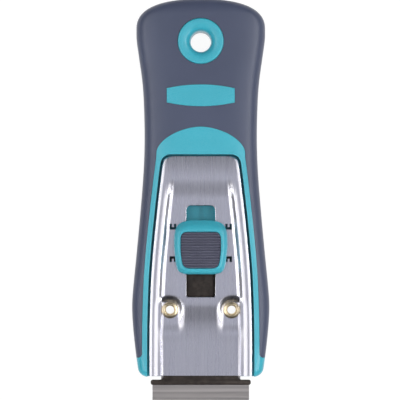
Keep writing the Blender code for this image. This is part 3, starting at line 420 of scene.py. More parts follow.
RING_LIP = [(0.0, -0.45), (-0.06, -0.12), (-0.22, 0.08), (-0.5, 0.19), (-1.0, 0.2), (-1.8, 0.16),
            (-2.5, 0.04), (-3.1, -0.16), (-3.6, -0.44), (-4.05, -0.85), (-4.45, -1.45),
            (-4.76, -2.25), (-4.98, -3.3)]
RING_SOFT = 0.3 * MM
RING_INSIDE = 5.2 * MM
RING_STEPS = 96
BORE_STEPS = 48
BORDER_ROWS = 40
PLATE_CORNER_STEPS = 10
GRIP_CORNER_STEPS = 6
ARCH_STEPS = 32
BADGE_STEPS = 8
PANEL_STEPS = 24
WINDOW_SIDE = 11.15 * MM
WINDOW_ROWS = ((-23.75 * MM, -1), (-10.75 * MM, 1))


def handle_half_width(sizes, y):
    width = sizes.half_width * read_table(HANDLE_OUTLINE, (y - Y_TIPS) / (Y_END - Y_TIPS))
    into_cap = max(0.0, (y - (Y_END - HEAD_CAP)) / (HEAD_CAP + HEAD_CAP_END))
    width *= (1 - into_cap ** HEAD_POWER) ** (1 / HEAD_POWER)
    into_tip = max(0.0, (Y_TIPS + TIP_CORNER - y) / TIP_CORNER)
    return width - TIP_CORNER * quarter_drop(into_tip)


def belly_height(y):
    part = max(0.0, (Y_TIPS + BELLY_LENGTH - y) / BELLY_LENGTH)
    rise = math.hypot(part, BELLY_EASE) - BELLY_EASE
    return BELLY_LIFT * rise / (math.hypot(1.0, BELLY_EASE) - BELLY_EASE)


def end_drop(y):
    into_end = max(0.0, (y - (Y_END - END_ROUND)) / END_ROUND)
    into_tip = max(0.0, (Y_TIPS + TIP_CORNER - y) / TIP_CORNER)
    return END_DROP * quarter_drop(into_end) + TIP_DROP * quarter_drop(into_tip)


def half_section(sizes, y, inset):
    """Half of the handle's section, from the middle of its back to that of its face."""
    width = handle_half_width(sizes, y) - inset
    top = sizes.crown - end_drop(y) - inset
    bottom = belly_height(y) + end_drop(y) + inset
    middle = bottom + PARTING * (top - bottom)
    edge = min(EDGE_REACH, width / 2)
    flat, turn, crown = SKIN_QUARTERS
    half = [((width - edge) * i / flat, bottom) for i in range(flat)]
    for sin, cos in quarter_turn(turn)[:-1]:
        half.append((width - edge * (1 - sin), middle - (middle - bottom) * cos))
    for sin, cos in quarter_turn(crown):
        reach = (cos ** CROWN_POWER + sin ** CROWN_POWER) ** (-1 / CROWN_POWER)
        half.append((width * cos * reach, middle + (top - middle) * sin * reach))
    return half


def skin_places():
    tips, body, head = SKIN_ROWS
    places = [Y_TIPS + TIP_CORNER * (1 - cos) for _, cos in quarter_turn(tips)[:-1]]
    stop = Y_END - HEAD_CAP
    places += spread(Y_TIPS + TIP_CORNER, stop, body)
    return places + [stop + HEAD_CAP * sin for sin, _ in quarter_turn(head)]


def handle_skin(sizes, name, inset=0.0):
    """The handle's closed outer form, or one that lies inside it."""
    middle = (Y_TIPS + Y_END) / 2
    shrink = 1 - 2 * inset / (Y_END - Y_TIPS)
    rows = []
    for y in skin_places():
        place = middle + (y - middle) * shrink
        half = half_section(sizes, y, inset)
        ring = half + [(-x, z) for x, z in reversed(half[:-1])]
        rows.append([(x, place, z) for x, z in ring])
    piece = rows_of_points(name, rows)
    close_up(piece)
    return piece


PLATE_OUTLINE = [
    (0.0, 1.0), (0.157, 1.0), (0.303, 0.990), (0.449, 0.966), (0.596, 0.917),
    (0.742, 0.854), (0.889, 0.782), (1.0, 0.720),
]


def side_half_width(y):
    return PLATE_HIGH.x * read_table(PLATE_OUTLINE, (y - Y_PLATE) / (Y_PLATE_END - Y_PLATE))


def plate_half_width(y, grow=0.0):
    corner = PLATE_CORNER + grow
    into_corner = max(0.0, (y - (Y_PLATE_END + grow - corner)) / corner)
    return side_half_width(y - grow) + grow - corner * quarter_drop(min(1.0, into_corner))


def plate_border(grow, front):
    end = Y_PLATE_END + grow
    corner = PLATE_CORNER + grow
    places = spread(front, end - corner, BORDER_ROWS)
    places += [end - corner + corner * sin for sin, _ in quarter_turn(PLATE_CORNER_STEPS)]
    return mirrored([(plate_half_width(y, grow), y) for y in places])


def arms_border(sizes, grow, front):
    """The outer edge of the arms and the arch, with the square tips in front of the grip."""
    reach = sizes.plate_gap + sizes.arm_width + grow
    spring = Y_PLATE_END + ARCH_FOOT
    rise = sizes.arch_rise - ARCH_FOOT + grow
    nose = Y_TIPS + GRIP_START + grow
    outside = sizes.half_width + OVERRUN
    right = [(outside, front), (outside, nose)]
    corner = GRIP_CORNER - grow
    foot = side_half_width(nose + corner) + reach
    for sin, cos in quarter_turn(GRIP_CORNER_STEPS):
        right.append((foot + corner * (1 - sin), nose + corner * (1 - cos)))
    for y in spread(nose + corner, spring, BORDER_ROWS)[1:]:
        right.append((side_half_width(y) + reach, y))
    foot = side_half_width(spring) + reach
    for sin, cos in quarter_turn(ARCH_STEPS):
        right.append((foot * cos ** (2 / ARCH_POWER), spring + rise * sin ** (2 / ARCH_POWER)))
    return mirrored(right, shared_end=True)


def badge_border(sizes, grow):
    """A barrel: straight ends, and long sides that bow outwards."""
    middle = (Y_PLATE_END + sizes.arch_rise + Y_RING - sizes.ring_radius) / 2
    width = sizes.badge_half_width + grow
    right = []
    for i in range(2 * BADGE_STEPS + 1):
        part = i / BADGE_STEPS - 1
        height = sizes.badge_half_height - BADGE_BOW * part * part
        right.append((width * part, height + grow))
    return ([(x, middle + y) for x, y in reversed(right)]
            + [(x, middle - y) for x, y in right])


def panel_border(sizes, grow):
    """The bare part of the core's back: square at the tips and round behind."""
    width = sizes.half_width - PANEL_INSET + grow
    front = Y_TIPS - OVERRUN
    start = Y_TIPS + PANEL_LENGTH - PANEL_ROUND
    right = [(width, front)]
    for sin, cos in quarter_turn(PANEL_STEPS):
        right.append((width * cos, start + (PANEL_ROUND + grow) * sin))
    return mirrored(right, shared_end=True)


def core_windows(sizes, grow):
    """The solids in which the core comes through the grip, apart from the ring."""
    roof = sizes.crown + OVERRUN
    waist = sizes.crown * PARTING
    front = Y_TIPS - OVERRUN
    side = sizes.half_width + OVERRUN
    nose = Y_TIPS + GRIP_START + grow
    return [
        prism("badge_window", badge_border(sizes, grow), waist, roof),
        prism("arms_window", arms_border(sizes, grow, front), waist, roof),
        prism("panel_window", panel_border(sizes, grow), -OVERRUN, waist + MM),
        block("nose_window", (-side, front, -OVERRUN), (side, nose, waist + MM)),
    ]


def ring_profile(sizes):
    """The hanging ring: a soft lip on the face, a funnel into the hole and a flat back."""
    top = sizes.crown
    outer = sizes.ring_radius - sizes.seam / 2
    hole = sizes.hole_radius
    profile = [(hole + x * MM, z * MM) for x, z in RING_FUNNEL]
    profile += [(outer - RING_SOFT, 0.0), (outer, RING_SOFT)]
    profile += [(outer + x * MM, top + z * MM) for x, z in RING_LIP]
    return profile + [(hole, top - RING_INSIDE)]


def eyelet_bore(name, side, radius, low, high):
    """A round cutter round the middle of one eyelet."""
    centre = (side * EYELET_SIDE, Y_EYELET)
    return prism(name, round_outline(radius, centre, BORE_STEPS), low, high)


def washer_seats():
    seats = []
    for side in (-1, 1):
        seats.append(eyelet_bore("eyelet_bore", side, EYELET_BORE, -OVERRUN,
                                 CORE_HIGH.z + OVERRUN))
        seats.append(eyelet_bore("washer_seat", side, WASHER_SEAT, -OVERRUN,
                                 WASHER_HIGH.z + WASHER_SLACK))
    return seats


def core_hollows(sizes):
    """The plate's pocket with its groove, the blade's well and the carrier's channel."""
    roof = sizes.crown + OVERRUN
    front = Y_TIPS - OVERRUN
    floor = Z_LAND - CHANNEL_DROP
    groove = prism("groove", plate_border(sizes.plate_gap, front), Z_LAND - GROOVE_DROP / 2, roof)
    cut(groove, prism("groove_core", plate_border(-GROOVE_INSET, front - OVERRUN), front,
                      Z_RAIL - LEDGE_DROP))
    wells = []
    for side in (-1, 1):
        for y, _ in WINDOW_ROWS:
            x = side * WINDOW_SIDE
            wells.append(block("window_well",
                               (x - WELL_REACH, y - WELL_REACH, Z_LAND - WELL_DEPTH),
                               (x + WELL_REACH, y + WELL_REACH, roof)))
    return wells + [
        groove,
        prism("land", plate_border(-LAND_INSET, front), Z_LAND, roof),
        block("well", (-WELL_SIDE, front, floor), (WELL_SIDE, Y_TIPS + WELL_LENGTH, roof)),
        block("channel", (-CHANNEL_SIDE, front, floor),
              (CHANNEL_SIDE, Y_TAIL + CHANNEL_PAST_TAIL, roof)),
    ]


class SCRAPER_OT_core(bpy.types.Operator):
    """Model the hard core, which shows in the ring, the badge, the arms and the tips"""
    bl_idname = "scraper.core"
    bl_label = "Handle core"

    def execute(self, context):
        sizes = context.scene.scraper_handle
        half_seam = sizes.seam / 2
        shows = core_windows(sizes, -half_seam)
        first = shows[0]
        join(first, *shows[1:])
        faces = handle_skin(sizes, "core_faces")
        combine(faces, first, "INTERSECT")
        core = handle_skin(sizes, "hard_core", sizes.grip_wall)
        join(core, faces)
        cut(core, *core_hollows(sizes))
        bore = round_outline(RING_BORE, (0.0, Y_RING), RING_STEPS)
        cut(core, prism("ring_bore", bore, -OVERRUN, sizes.crown + OVERRUN))
        join(core, turned("ring", ring_profile(sizes), (0.0, Y_RING), RING_STEPS))
        cut(core, *washer_seats())
        dress(core, "handle", ["handle_core"],
              moulded_plastic("core_plastic_moulded", context.scene.scraper_finishes.core))
        return {"FINISHED"}


class SCRAPER_OT_grip(bpy.types.Operator):
    """Model the soft grip that is moulded round the core"""
    bl_idname = "scraper.grip"
    bl_label = "Soft grip"

    def execute(self, context):
        sizes = context.scene.scraper_handle
        half_seam = sizes.seam / 2
        grip = handle_skin(sizes, "soft_grip")
        cut(grip, handle_skin(sizes, "grip_inside", sizes.grip_wall - half_seam))
        ring = round_outline(sizes.ring_radius + half_seam, (0.0, Y_RING), RING_STEPS)
        cut(grip, prism("ring_window", ring, -OVERRUN, sizes.crown + OVERRUN))
        cut(grip, *core_windows(sizes, half_seam))
        dress(grip, "handle", ["handle_grip"],
              soft_rubber("grip_rubber_matt", context.scene.scraper_finishes.grip))
        return {"FINISHED"}


# Face plate

SKIRT = 2.0 * MM
RIM_ROUND = 0.22 * MM
HEAD_LAND = 8.6 * MM
HEAD_RAMP = 8.5 * MM
END_CROWN = 8.5 * MM
END_FALL = 0.58 * MM
RAIL_FOOT = 6.3 * MM
EDGE_FALL = 0.2 * MM
EDGE_SLOPE = [(0.0, 1.0), (0.3, 0.86), (0.7, 0.48), (1.1, 0.13), (1.4, 0.02), (1.6, 0.0),
              (6.3, 0.0)]
UPPER_FALL = [(0.0, 0.0), (1.6, 0.0), (1.9, 0.012), (2.2, 0.045), (2.5, 0.105), (3.4, 0.355),
              (3.5, 0.42), (4.65, 1.48), (4.75, 1.53), (4.88, 1.51), (5.1, 1.37), (5.5, 1.1),
              (5.85, 1.0), (6.3, 1.0)]
LOWER_FALL = [(0.0, 0.0), (1.25, 0.0), (1.7, 0.008), (2.1, 0.031), (2.5, 0.065), (3.3, 0.135),
              (3.5, 0.146), (4.55, 0.168), (4.68, 0.21), (4.88, 0.88), (5.0, 0.93), (5.45, 0.987),
              (5.7, 1.0), (6.3, 1.0)]
RAMP_FALL = [(0.0, 0.0), (2.8, 0.04), (3.6, 0.07), (4.4, 0.13), (8.4, 0.505), (10.4, 0.66),
             (13.2, 0.79), (16.2, 0.86), (19.2, 0.9), (31.6, 1.0)]
SLOT_FRONT = Y_PLATE + 31.6 * MM
SLOT_LENGTH = 36.6 * MM
SLOT_CORNER = 1.8 * MM
SLOT_FRONT_CORNER = 0.4 * MM
RAMP_REACH = 18.0 * MM
BEND_STEPS = 5
RAIL_COLUMNS = 48
FLOOR_COLUMNS = 30
FRONT_ROWS, FOOT_ROWS, SLOT_ROWS, HEAD_ROWS, LAND_ROWS, CORNER_ROWS = 9, 48, 16, 12, 4, 6
SLOT_CORNER_STEPS = 8
RIM_SEGMENTS = 3
RIM_NEAR = 0.05 * MM
WINDOW_HALF = (1.35 * MM, 1.15 * MM)
TONGUE_HALF, TONGUE_LENGTH = 0.4 * MM, 1.3 * MM
PAD_RISE = [(0.0, 0.0), (3.4, 0.0), (3.5, 0.02), (4.4, 0.5), (4.55, 0.56), (5.55, 0.91),
            (5.85, 0.975), (6.3, 1.0)]
PAD_FRONT = (10.6, 15.6)
PAD_OUTWARD = 0.55


def lower_share(x, y):
    """0 on the upper floor and 1 on the lower floor, in front of the slot and at the eyelets."""
    ahead = (SLOT_FRONT - y) / MM
    across = EYELET_SIDE - abs(x)
    across = max(across, -PAD_OUTWARD * across)
    behind = max(0.0, y - Y_EYELET)
    beside = read_table(PAD_RISE, math.hypot(across, behind) / MM)
    beside += (1 - beside) * ease(*PAD_FRONT, ahead)
    return 1 - (1 - read_table(RAMP_FALL, ahead)) * beside


def plate_height(sizes, x, y, from_edge):
    """The rails fall from their crest in a broad slope, a steep wall and a soft foot."""
    head = ease(Y_PLATE_END - HEAD_LAND - HEAD_RAMP, Y_PLATE_END - HEAD_LAND, y)
    place = from_edge / MM
    share_down = lower_share(x, y)
    upper = sizes.mid_drop * (1 - head) * read_table(UPPER_FALL, place) * (1 - share_down)
    lower = (sizes.mid_drop + sizes.low_drop) * read_table(LOWER_FALL, place) * share_down
    to_end = max(0.0, (y - Y_PLATE_END + END_CROWN) / END_CROWN)
    edge = EDGE_FALL * read_table(EDGE_SLOPE, place) + END_FALL * to_end ** 2
    return Z_RAIL - upper - lower - edge


def plate_columns(sizes, half_width):
    """Distances from the plate's edge, and the drop of its turned-down edge, from outside in."""
    bend = sizes.bend
    columns = [(0.0, SKIRT), (0.0, (SKIRT + bend) / 2), (0.0, bend)]
    columns += [(bend * (1 - cos), bend * (1 - sin))
                for sin, cos in quarter_turn(BEND_STEPS)[1:]]
    rise = RAIL_FOOT - bend
    columns += [(bend + rise * i / RAIL_COLUMNS, 0.0) for i in range(1, RAIL_COLUMNS + 1)]
    floor = half_width - RAIL_FOOT
    columns += [(RAIL_FOOT + floor * i / FLOOR_COLUMNS, 0.0)
                for i in range(1, FLOOR_COLUMNS + 1)]
    return columns


def plate_rows(sizes):
    """Places along the plate, and the drop of its turned-down end, close at the ramps."""
    bend = sizes.bend
    land = Y_PLATE_END - HEAD_LAND
    last = Y_PLATE_END - PLATE_CORNER
    foot = SLOT_FRONT - RAMP_REACH
    rows = spread(Y_PLATE, foot, FRONT_ROWS)
    rows += spread(foot, SLOT_FRONT + MM, FOOT_ROWS)
    rows += spread(SLOT_FRONT + MM, land - HEAD_RAMP, SLOT_ROWS)
    rows += spread(land - HEAD_RAMP, land, HEAD_ROWS)
    rows += spread(land, last, LAND_ROWS)
    rows = [(y, 0.0) for y in rows]
    reach = PLATE_CORNER - bend
    rows += [(last + reach * i / CORNER_ROWS, 0.0) for i in range(CORNER_ROWS + 1)]
    rows += [(Y_PLATE_END - bend * (1 - sin), bend * (1 - cos))
             for sin, cos in quarter_turn(BEND_STEPS)[1:]]
    return rows + [(Y_PLATE_END, (SKIRT + bend) / 2), (Y_PLATE_END, SKIRT)]


def slot_border(sizes):
    end = SLOT_FRONT + SLOT_LENGTH
    wide = sizes.slot_half_width
    corner = SLOT_FRONT_CORNER
    right = [(wide - corner, SLOT_FRONT), (wide, SLOT_FRONT + corner)]
    for sin, cos in quarter_turn(SLOT_CORNER_STEPS):
        right.append((wide - SLOT_CORNER * (1 - cos), end - SLOT_CORNER * (1 - sin)))
    return mirrored(right)


def window_border(x, y, facing):
    """A lock window: a rectangle with a small tongue standing in it."""
    w, h = WINDOW_HALF
    t, tip = TONGUE_HALF, h - TONGUE_LENGTH
    corners = [(-w, -h), (w, -h), (w, h), (t, h), (t, tip), (-t, tip), (-t, h), (-w, h)]
    return [(x + a, y + b * facing) for a, b in corners]


class SCRAPER_OT_plate(bpy.types.Operator):
    """Press the steel face plate with its rails, floors, slot and windows"""
    bl_idname = "scraper.plate"
    bl_label = "Face plate"

    def execute(self, context):
        sizes = context.scene.scraper_plate
        rows = []
        for y, row_drop in plate_rows(sizes):
            wide = plate_half_width(y)
            half = []
            for from_edge, drop in plate_columns(sizes, wide):
                x = wide - from_edge
                height = plate_height(sizes, x, y, from_edge) - drop
                half.append((x, y, min(height, Z_RAIL - row_drop)))
            rows.append([(-x, y, z) for x, y, z in half[:-1]]
                        + [(x, y, z) for x, y, z in reversed(half)])
        plate = rows_of_points("pressed_plate", rows)
        edit(plate)
        bpy.ops.mesh.remove_doubles(threshold=MERGE)
        bpy.ops.mesh.dissolve_degenerate(threshold=MERGE)
        rest()
        apply_step(plate, "SOLIDIFY", thickness=sizes.thickness, offset=-1.0,
                   use_even_offset=True, use_quality_normals=True)
        low, roof = Z_LAND - OVERRUN, Z_RAIL + OVERRUN
        cutters = [prism("slot", slot_border(sizes), low, roof)]
        for side in (-1, 1):
            for y, facing in WINDOW_ROWS:
                cutters.append(prism("window", window_border(side * WINDOW_SIDE, y, facing),
                                     low, roof))
            cutters.append(eyelet_bore("hole", side, EYELET_BORE, low, roof))
        cut(plate, *cutters)
        upper = Z_RAIL - sizes.mid_drop
        wide, end = sizes.slot_half_width, SLOT_FRONT + SLOT_LENGTH
        near = RIM_NEAR

        def slot_rim(points):
            """Upper edges of the slot's wall."""
            flat = all(abs(p.z - upper) < near for p in points)
            inside = all(abs(p.x) < wide + near and SLOT_FRONT - near < p.y < end + near
                         for p in points)
            return flat and inside

        round_edges(plate, slot_rim, RIM_ROUND, RIM_SEGMENTS)
        dress(plate, "handle", ["face_plate"],
              brushed_steel("plate_steel_brushed", context.scene.scraper_finishes.plate))
        return {"FINISHED"}


# Eyelets and washers

EYELET_FACE = [(3.32, 0.03), (3.34, 0.14), (3.24, 0.3), (3.0, 0.48), (2.74, 0.63), (2.48, 0.76),
               (2.28, 0.81), (2.1, 0.76), (1.94, 0.58), (1.82, 0.25), (1.74, -0.3), (1.7, -0.9)]
EYELET_BACK = [(1.7, 0.9), (1.72, 0.45), (1.82, 0.18), (2.05, 0.03), (2.4, 0.0), (2.75, 0.06),
               (3.0, 0.22), (3.1, 0.42), (3.1, 0.58), (2.2, 0.6)]
EYELET_NECK = (2.2, 0.03)
WASHER_INSIDE, WASHER_OUTSIDE, WASHER_SOFT = 2.5 * MM, 3.7 * MM, 0.15 * MM


class SCRAPER_OT_eyelets(bpy.types.Operator):
    """Roll the two brass eyelets over the plate and over their washers"""
    bl_idname = "scraper.eyelets"
    bl_label = "Eyelets and washers"

    def execute(self, context):
        plate = context.scene.scraper_plate
        seat = Z_RAIL - plate.mid_drop - plate.low_drop
        back = EYELET_LOW.z
        brass = polished_brass("brass_polished", context.scene.scraper_finishes.brass)
        profile = [(r * MM, seat + z * MM) for r, z in EYELET_FACE]
        profile += [(r * MM, back + z * MM) for r, z in EYELET_BACK]
        profile.append((EYELET_NECK[0] * MM, seat + EYELET_NECK[1] * MM))
        low, high = WASHER_LOW.z, WASHER_HIGH.z
        inner, outer, soft = WASHER_INSIDE, WASHER_OUTSIDE, WASHER_SOFT
        ring = [(inner, low + soft), (inner + soft, low), (outer - soft, low),
                (outer, low + soft), (outer, high - soft), (outer - soft, high),
                (inner + soft, high), (inner, high - soft)]
        for tag, side in (("left", -1), ("right", 1)):
            centre = (side * EYELET_SIDE, Y_EYELET)
            eyelet = turned("brass_eyelet_" + tag, profile, centre)
            dress(eyelet, "handle", ["eyelet_" + tag], brass)
            washer = turned("brass_washer_" + tag, ring, centre)
            dress(washer, "handle", ["eyelet_washer_" + tag], brass)
        return {"FINISHED"}


# Blade and carrier

SHOULDER = 0.5 * MM
FLARE = 1.5 * MM
BAR_ROUND = 0.42
BAR_STEPS, FLARE_STEPS = 5, 6
CARRIER_SHEET = 0.8 * MM
HOOK_WALL = 0.4 * MM
HOOK_FOOT = 1.2 * MM
HOOK_INSET = 0.05 * MM
BLADE_SLACK = 0.3 * MM
SHANK_SIDE = 7.8 * MM
PEG_HOLE = ((-2.93 * MM, -24.5 * MM), (2.93 * MM, -20.7 * MM))
CARRIER_ROUND = 0.14 * MM
TOP_NEAR = 0.01 * MM
NOTCH_FROM_EDGE = 9.5 * MM
NOTCH_DEPTH = 3.5 * MM
NOTCH_HALF = 1.3 * MM
HONE_SHARE, BEVEL_SHARE = 0.06, 0.4


def carrier_border(sizes):
    """The carrier from above: a bar with round ends, a flared neck and a long shank."""
    behind = Y_BAR + sizes.bar_length
    wide, neck = CARRIER_HIGH.x, sizes.neck_half_width
    end = sizes.bar_length * BAR_ROUND
    turns = quarter_turn(BAR_STEPS)
    right = [(wide - end * (1 - sin), Y_BAR + end * (1 - cos)) for sin, cos in turns]
    right += [(wide - end * (1 - cos), behind - end * (1 - sin)) for sin, cos in turns]
    right += [(neck + FLARE * (1 - sin), behind + FLARE * (1 - cos))
              for sin, cos in quarter_turn(FLARE_STEPS)]
    shoulder = Y_BACK + SHOULDER
    right += [(neck, shoulder - FLARE), (neck - FLARE, shoulder), (SHANK_SIDE, shoulder),
              (SHANK_SIDE, Y_TAIL - FLARE), (SHANK_SIDE - FLARE, Y_TAIL)]
    return mirrored(right)


class SCRAPER_OT_carrier(bpy.types.Operator):
    """Cut the blade carrier from dark sheet and fold its hooks round the blade"""
    bl_idname = "scraper.carrier"
    bl_label = "Blade carrier"

    def execute(self, context):
        sizes = context.scene.scraper_blade
        low = Z_LAND - CARRIER_SHEET
        carrier = prism("burnished_carrier", carrier_border(sizes), low, Z_LAND)
        inset = sizes.bar_length / 4
        front, back = Y_BAR + inset, Y_BAR + sizes.bar_length - inset
        wide = CARRIER_HIGH.x
        overlap = low + CARRIER_SHEET / 2
        join(carrier, block("bar", (-wide + HOOK_WALL, front, BLADE_HIGH.z + BLADE_SLACK),
                            (wide - HOOK_WALL, back, overlap)))
        floor = CARRIER_LOW.z
        outer = wide - HOOK_INSET
        for side in (-1, 1):
            join(carrier, side_block("hook", side, outer, wide - HOOK_WALL, front, back,
                                     floor, overlap))
            join(carrier, side_block("toe", side, outer, BLADE_HIGH.x - HOOK_FOOT, front, back,
                                     floor, floor + HOOK_WALL))
        (left, near), (right, far) = PEG_HOLE
        cut(carrier, block("peg_hole", (left, near, floor), (right, far, Z_LAND + OVERRUN)))
        round_edges(carrier, lambda points: all(abs(p.z - Z_LAND) < TOP_NEAR for p in points),
                    CARRIER_ROUND)
        dress(carrier, "blade_carriage", ["blade_carrier"],
              burnished_steel("carrier_burnished", context.scene.scraper_finishes.carrier))
        return {"FINISHED"}


class SCRAPER_OT_blade(bpy.types.Operator):
    """Grind the single-edge blade and notch its sides"""
    bl_idname = "scraper.blade"
    bl_label = "Blade"

    def execute(self, context):
        sizes = context.scene.scraper_blade
        low, high = BLADE_LOW, BLADE_HIGH
        blade = block("ground_blade", low, high)
        edit(blade)
        for reach in (sizes.bevel, sizes.hone):
            bpy.ops.mesh.select_all(action="SELECT")
            bpy.ops.mesh.bisect(plane_co=(0.0, low.y + reach, 0.0), plane_no=(0.0, 1.0, 0.0))
        rest()
        middle = (low.z + high.z) / 2
        for vertex in blade.data.vertices:
            from_edge = vertex.co.y - low.y
            if from_edge < sizes.bevel / 2:
                left = HONE_SHARE if from_edge < sizes.hone / 2 else BEVEL_SHARE
                vertex.co.z = middle + (vertex.co.z - middle) * left
        notch = low.y + NOTCH_FROM_EDGE
        for side in (-1, 1):
            cut(blade, side_block("notch", side, high.x - NOTCH_DEPTH, high.x + OVERRUN,
                                  notch - NOTCH_HALF, notch + NOTCH_HALF,
                                  low.z - OVERRUN, high.z + OVERRUN))
        dress(blade, "blade_carriage", ["blade"],
              ground_steel("blade_ground", context.scene.scraper_finishes.blade))
        return {"FINISHED"}


# Thumb slider and its inlay

SLIDER_POINTS = 96
OUTER_POWERS = (4.0, 6.0)
INNER_POWERS = (6.5, 6.0)
SLIDER_TAPER = 0.10
FRAME_CURVE = [(0.07, 0.42, 0.42), (0.02, 0.5, 0.48), (0.0, 0.6, 0.55), (0.0, 0.8, 0.65),
               (0.04, 1.2, 0.8), (0.11, 1.7, 1.05), (0.2, 2.1, 1.45), (0.32, 2.48, 2.0),
               (0.45, 2.8, 2.5), (0.6, 3.03, 2.9), (0.75, 3.16, 3.12), (0.87, 3.2, 3.2),
               (0.94, 3.16, 3.16), (0.985, 3.02, 3.02), (1.0, 2.8, 2.8), (1.0, 1.9, 1.9)]
FRAME_HEIGHT = 3.2 * MM
STEM = [(5.25 * MM, -29.5 * MM), (5.25 * MM, -16.7 * MM), (4.25 * MM, -15.7 * MM)]
STEM_FOOT = 1.9 * MM
PEG = ((-2.63 * MM, -24.2 * MM), (2.63 * MM, -21.0 * MM))
PEG_TOP = 2.4 * MM
INLAY_RIBS = 14
RIB_ROWS = 10
INLAY_COLUMNS = 40
INLAY_EDGE = 0.35 * MM
INLAY_DEPTH = 2.0 * MM
INLAY_PAST = 0.3 * MM
INLAY_SOFT_FROM = 0.93
RIB_FLANK = (0.3, 0.75)
END_SLOPE = (0.5, 0.8)
FRONT_SLOPE_SHARE = 0.3


def slider_border(wide, long, middle, powers):
    """A rounded outline that narrows towards the blade."""
    outline = []
    for i in range(SLIDER_POINTS):
        angle = math.tau * i / SLIDER_POINTS
        across, along = math.cos(angle), math.sin(angle)
        power = powers[0] if along > 0 else powers[1]
        reach = (abs(across) ** power + abs(along) ** power) ** (-1 / power)
        across, along = across * reach, along * reach
        outline.append((wide * across * (1 + SLIDER_TAPER * min(0.0, along)),
                        middle + long * along))
    return outline


def end_share(place):
    """The frame slopes all the way down to its rear end, and a little to its front end."""
    return ease(*END_SLOPE, place) + FRONT_SLOPE_SHARE * ease(*END_SLOPE, -place)


class SCRAPER_OT_slider(bpy.types.Operator):
    """Mould the thumb slider with its stem and its peg"""
    bl_idname = "scraper.slider"
    bl_label = "Thumb slider"

    def execute(self, context):
        inlay = context.scene.scraper_slider
        wide, top = SLIDER_HIGH.x, SLIDER_HIGH.z
        middle, long = middle_and_half(SLIDER_LOW, SLIDER_HIGH)
        seat_wide = INLAY_HIGH.x + inlay.inlay_margin
        seat_middle, seat_long = middle_and_half(INLAY_LOW, INLAY_HIGH)
        seat_long += inlay.inlay_margin
        foot = top - FRAME_HEIGHT
        rows = []
        for part, height, end_height in FRAME_CURVE:
            powers = [outer + (inner - outer) * part
                      for outer, inner in zip(OUTER_POWERS, INNER_POWERS)]
            outline = slider_border(wide + (seat_wide - wide) * part,
                                    long + (seat_long - long) * part,
                                    middle + (seat_middle - middle) * part, powers)
            sunk = (height - end_height) * MM
            rows.append([(x, y, foot + height * MM - sunk * end_share((y - middle) / long))
                         for x, y in outline + outline[:1]])
        slider = rows_of_points("button_frame", rows)
        close_up(slider)
        join(slider, prism("stem", mirrored(STEM), Z_LAND + STEM_FOOT, foot + MM))
        (left, near), (right, far) = PEG
        join(slider, block("peg", (left, near, SLIDER_LOW.z), (right, far, Z_LAND + PEG_TOP)))
        dress(slider, "thumb_button", ["thumb_slider"],
              bpy.data.materials["core_plastic_moulded"])
        return {"FINISHED"}


class SCRAPER_OT_inlay(bpy.types.Operator):
    """Mould the ribbed inlay of the thumb slider"""
    bl_idname = "scraper.inlay"
    bl_label = "Ribbed inlay"

    def execute(self, context):
        sizes = context.scene.scraper_slider
        wide = INLAY_HIGH.x
        middle, long = middle_and_half(INLAY_LOW, INLAY_HIGH)
        reach = wide + INLAY_PAST
        pitch = 2 * long / INLAY_RIBS
        top = INLAY_HIGH.z
        rows = INLAY_RIBS * RIB_ROWS

        def ribbed(column, row):
            """Ribs across the inlay, with a soft edge all round."""
            x = -reach + 2 * reach * column / INLAY_COLUMNS
            y = middle - long + 2 * long * row / rows
            phase = abs(((y - middle + long) / pitch) % 1.0 * 2 - 1)
            rib = 1 - ease(*RIB_FLANK, phase)
            side = max(abs(x) / wide, abs(y - middle) / long)
            soft = INLAY_EDGE * ease(INLAY_SOFT_FROM, 1.0, side)
            return x, y, top - sizes.rib_height * (1 - rib) - soft

        pad = shaped_grid("ribbed_inlay", INLAY_COLUMNS, rows, ribbed)
        edit(pad, "FACE")
        drop = (0.0, 0.0, -INLAY_DEPTH)
        bpy.ops.mesh.extrude_region_move(TRANSFORM_OT_translate={"value": drop})
        close_up(pad)
        outline = slider_border(wide, long, middle, INNER_POWERS)
        combine(pad, prism("inlay_border", outline, INLAY_LOW.z, top + OVERRUN), "INTERSECT")
        dress(pad, "thumb_button", ["thumb_pad"],
              soft_rubber("inlay_rubber_matt", context.scene.scraper_finishes.inlay,
                          INLAY_PORES))
        return {"FINISHED"}


# Share of the carrier's colour left on the lock plate: painted shade, so that the windows over it
# look as dark as deep shadow
LOCK_PAINTED_SHADE = 0.4


class SCRAPER_OT_hidden(bpy.types.Operator):
    """Finish the pieces inside the tool: the spine, the springs, the lock plate and the clip,
    with the lock plate painted near black as painted shade in the plate's windows
    """
    bl_idname = "scraper.hidden"
    bl_label = "Inner pieces"

    def execute(self, context):
        finishes = context.scene.scraper_finishes
        spine = brushed_steel("spine_rolled", finishes.spine, grain="X")
        spring = brushed_steel("spring_rolled", finishes.spring, grain="X")
        # Painted shade: the lock plate is darkened far below the carrier's steel so that the
        # windows over it read as deep shadow
        dark = burnished_steel("lock_painted_shade", shaded(finishes.carrier, LOCK_PAINTED_SHADE))
        wanted = {"blade_spine": spine, "return_spring_front": spring,
                  "return_spring_rear": spring, "lock_plate": dark, "slider_clip": spring}
        for node, material in wanted.items():
            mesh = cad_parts[node].data
            mesh.materials.clear()
            mesh.materials.append(material)
        return {"FINISHED"}


# Materials

# Pores of the two rubbers to a metre
GRIP_PORES, INLAY_PORES = 2600.0, 9000.0

# The range that the noises mostly keep to
NOISE_LOW, NOISE_HIGH = 0.3, 0.7


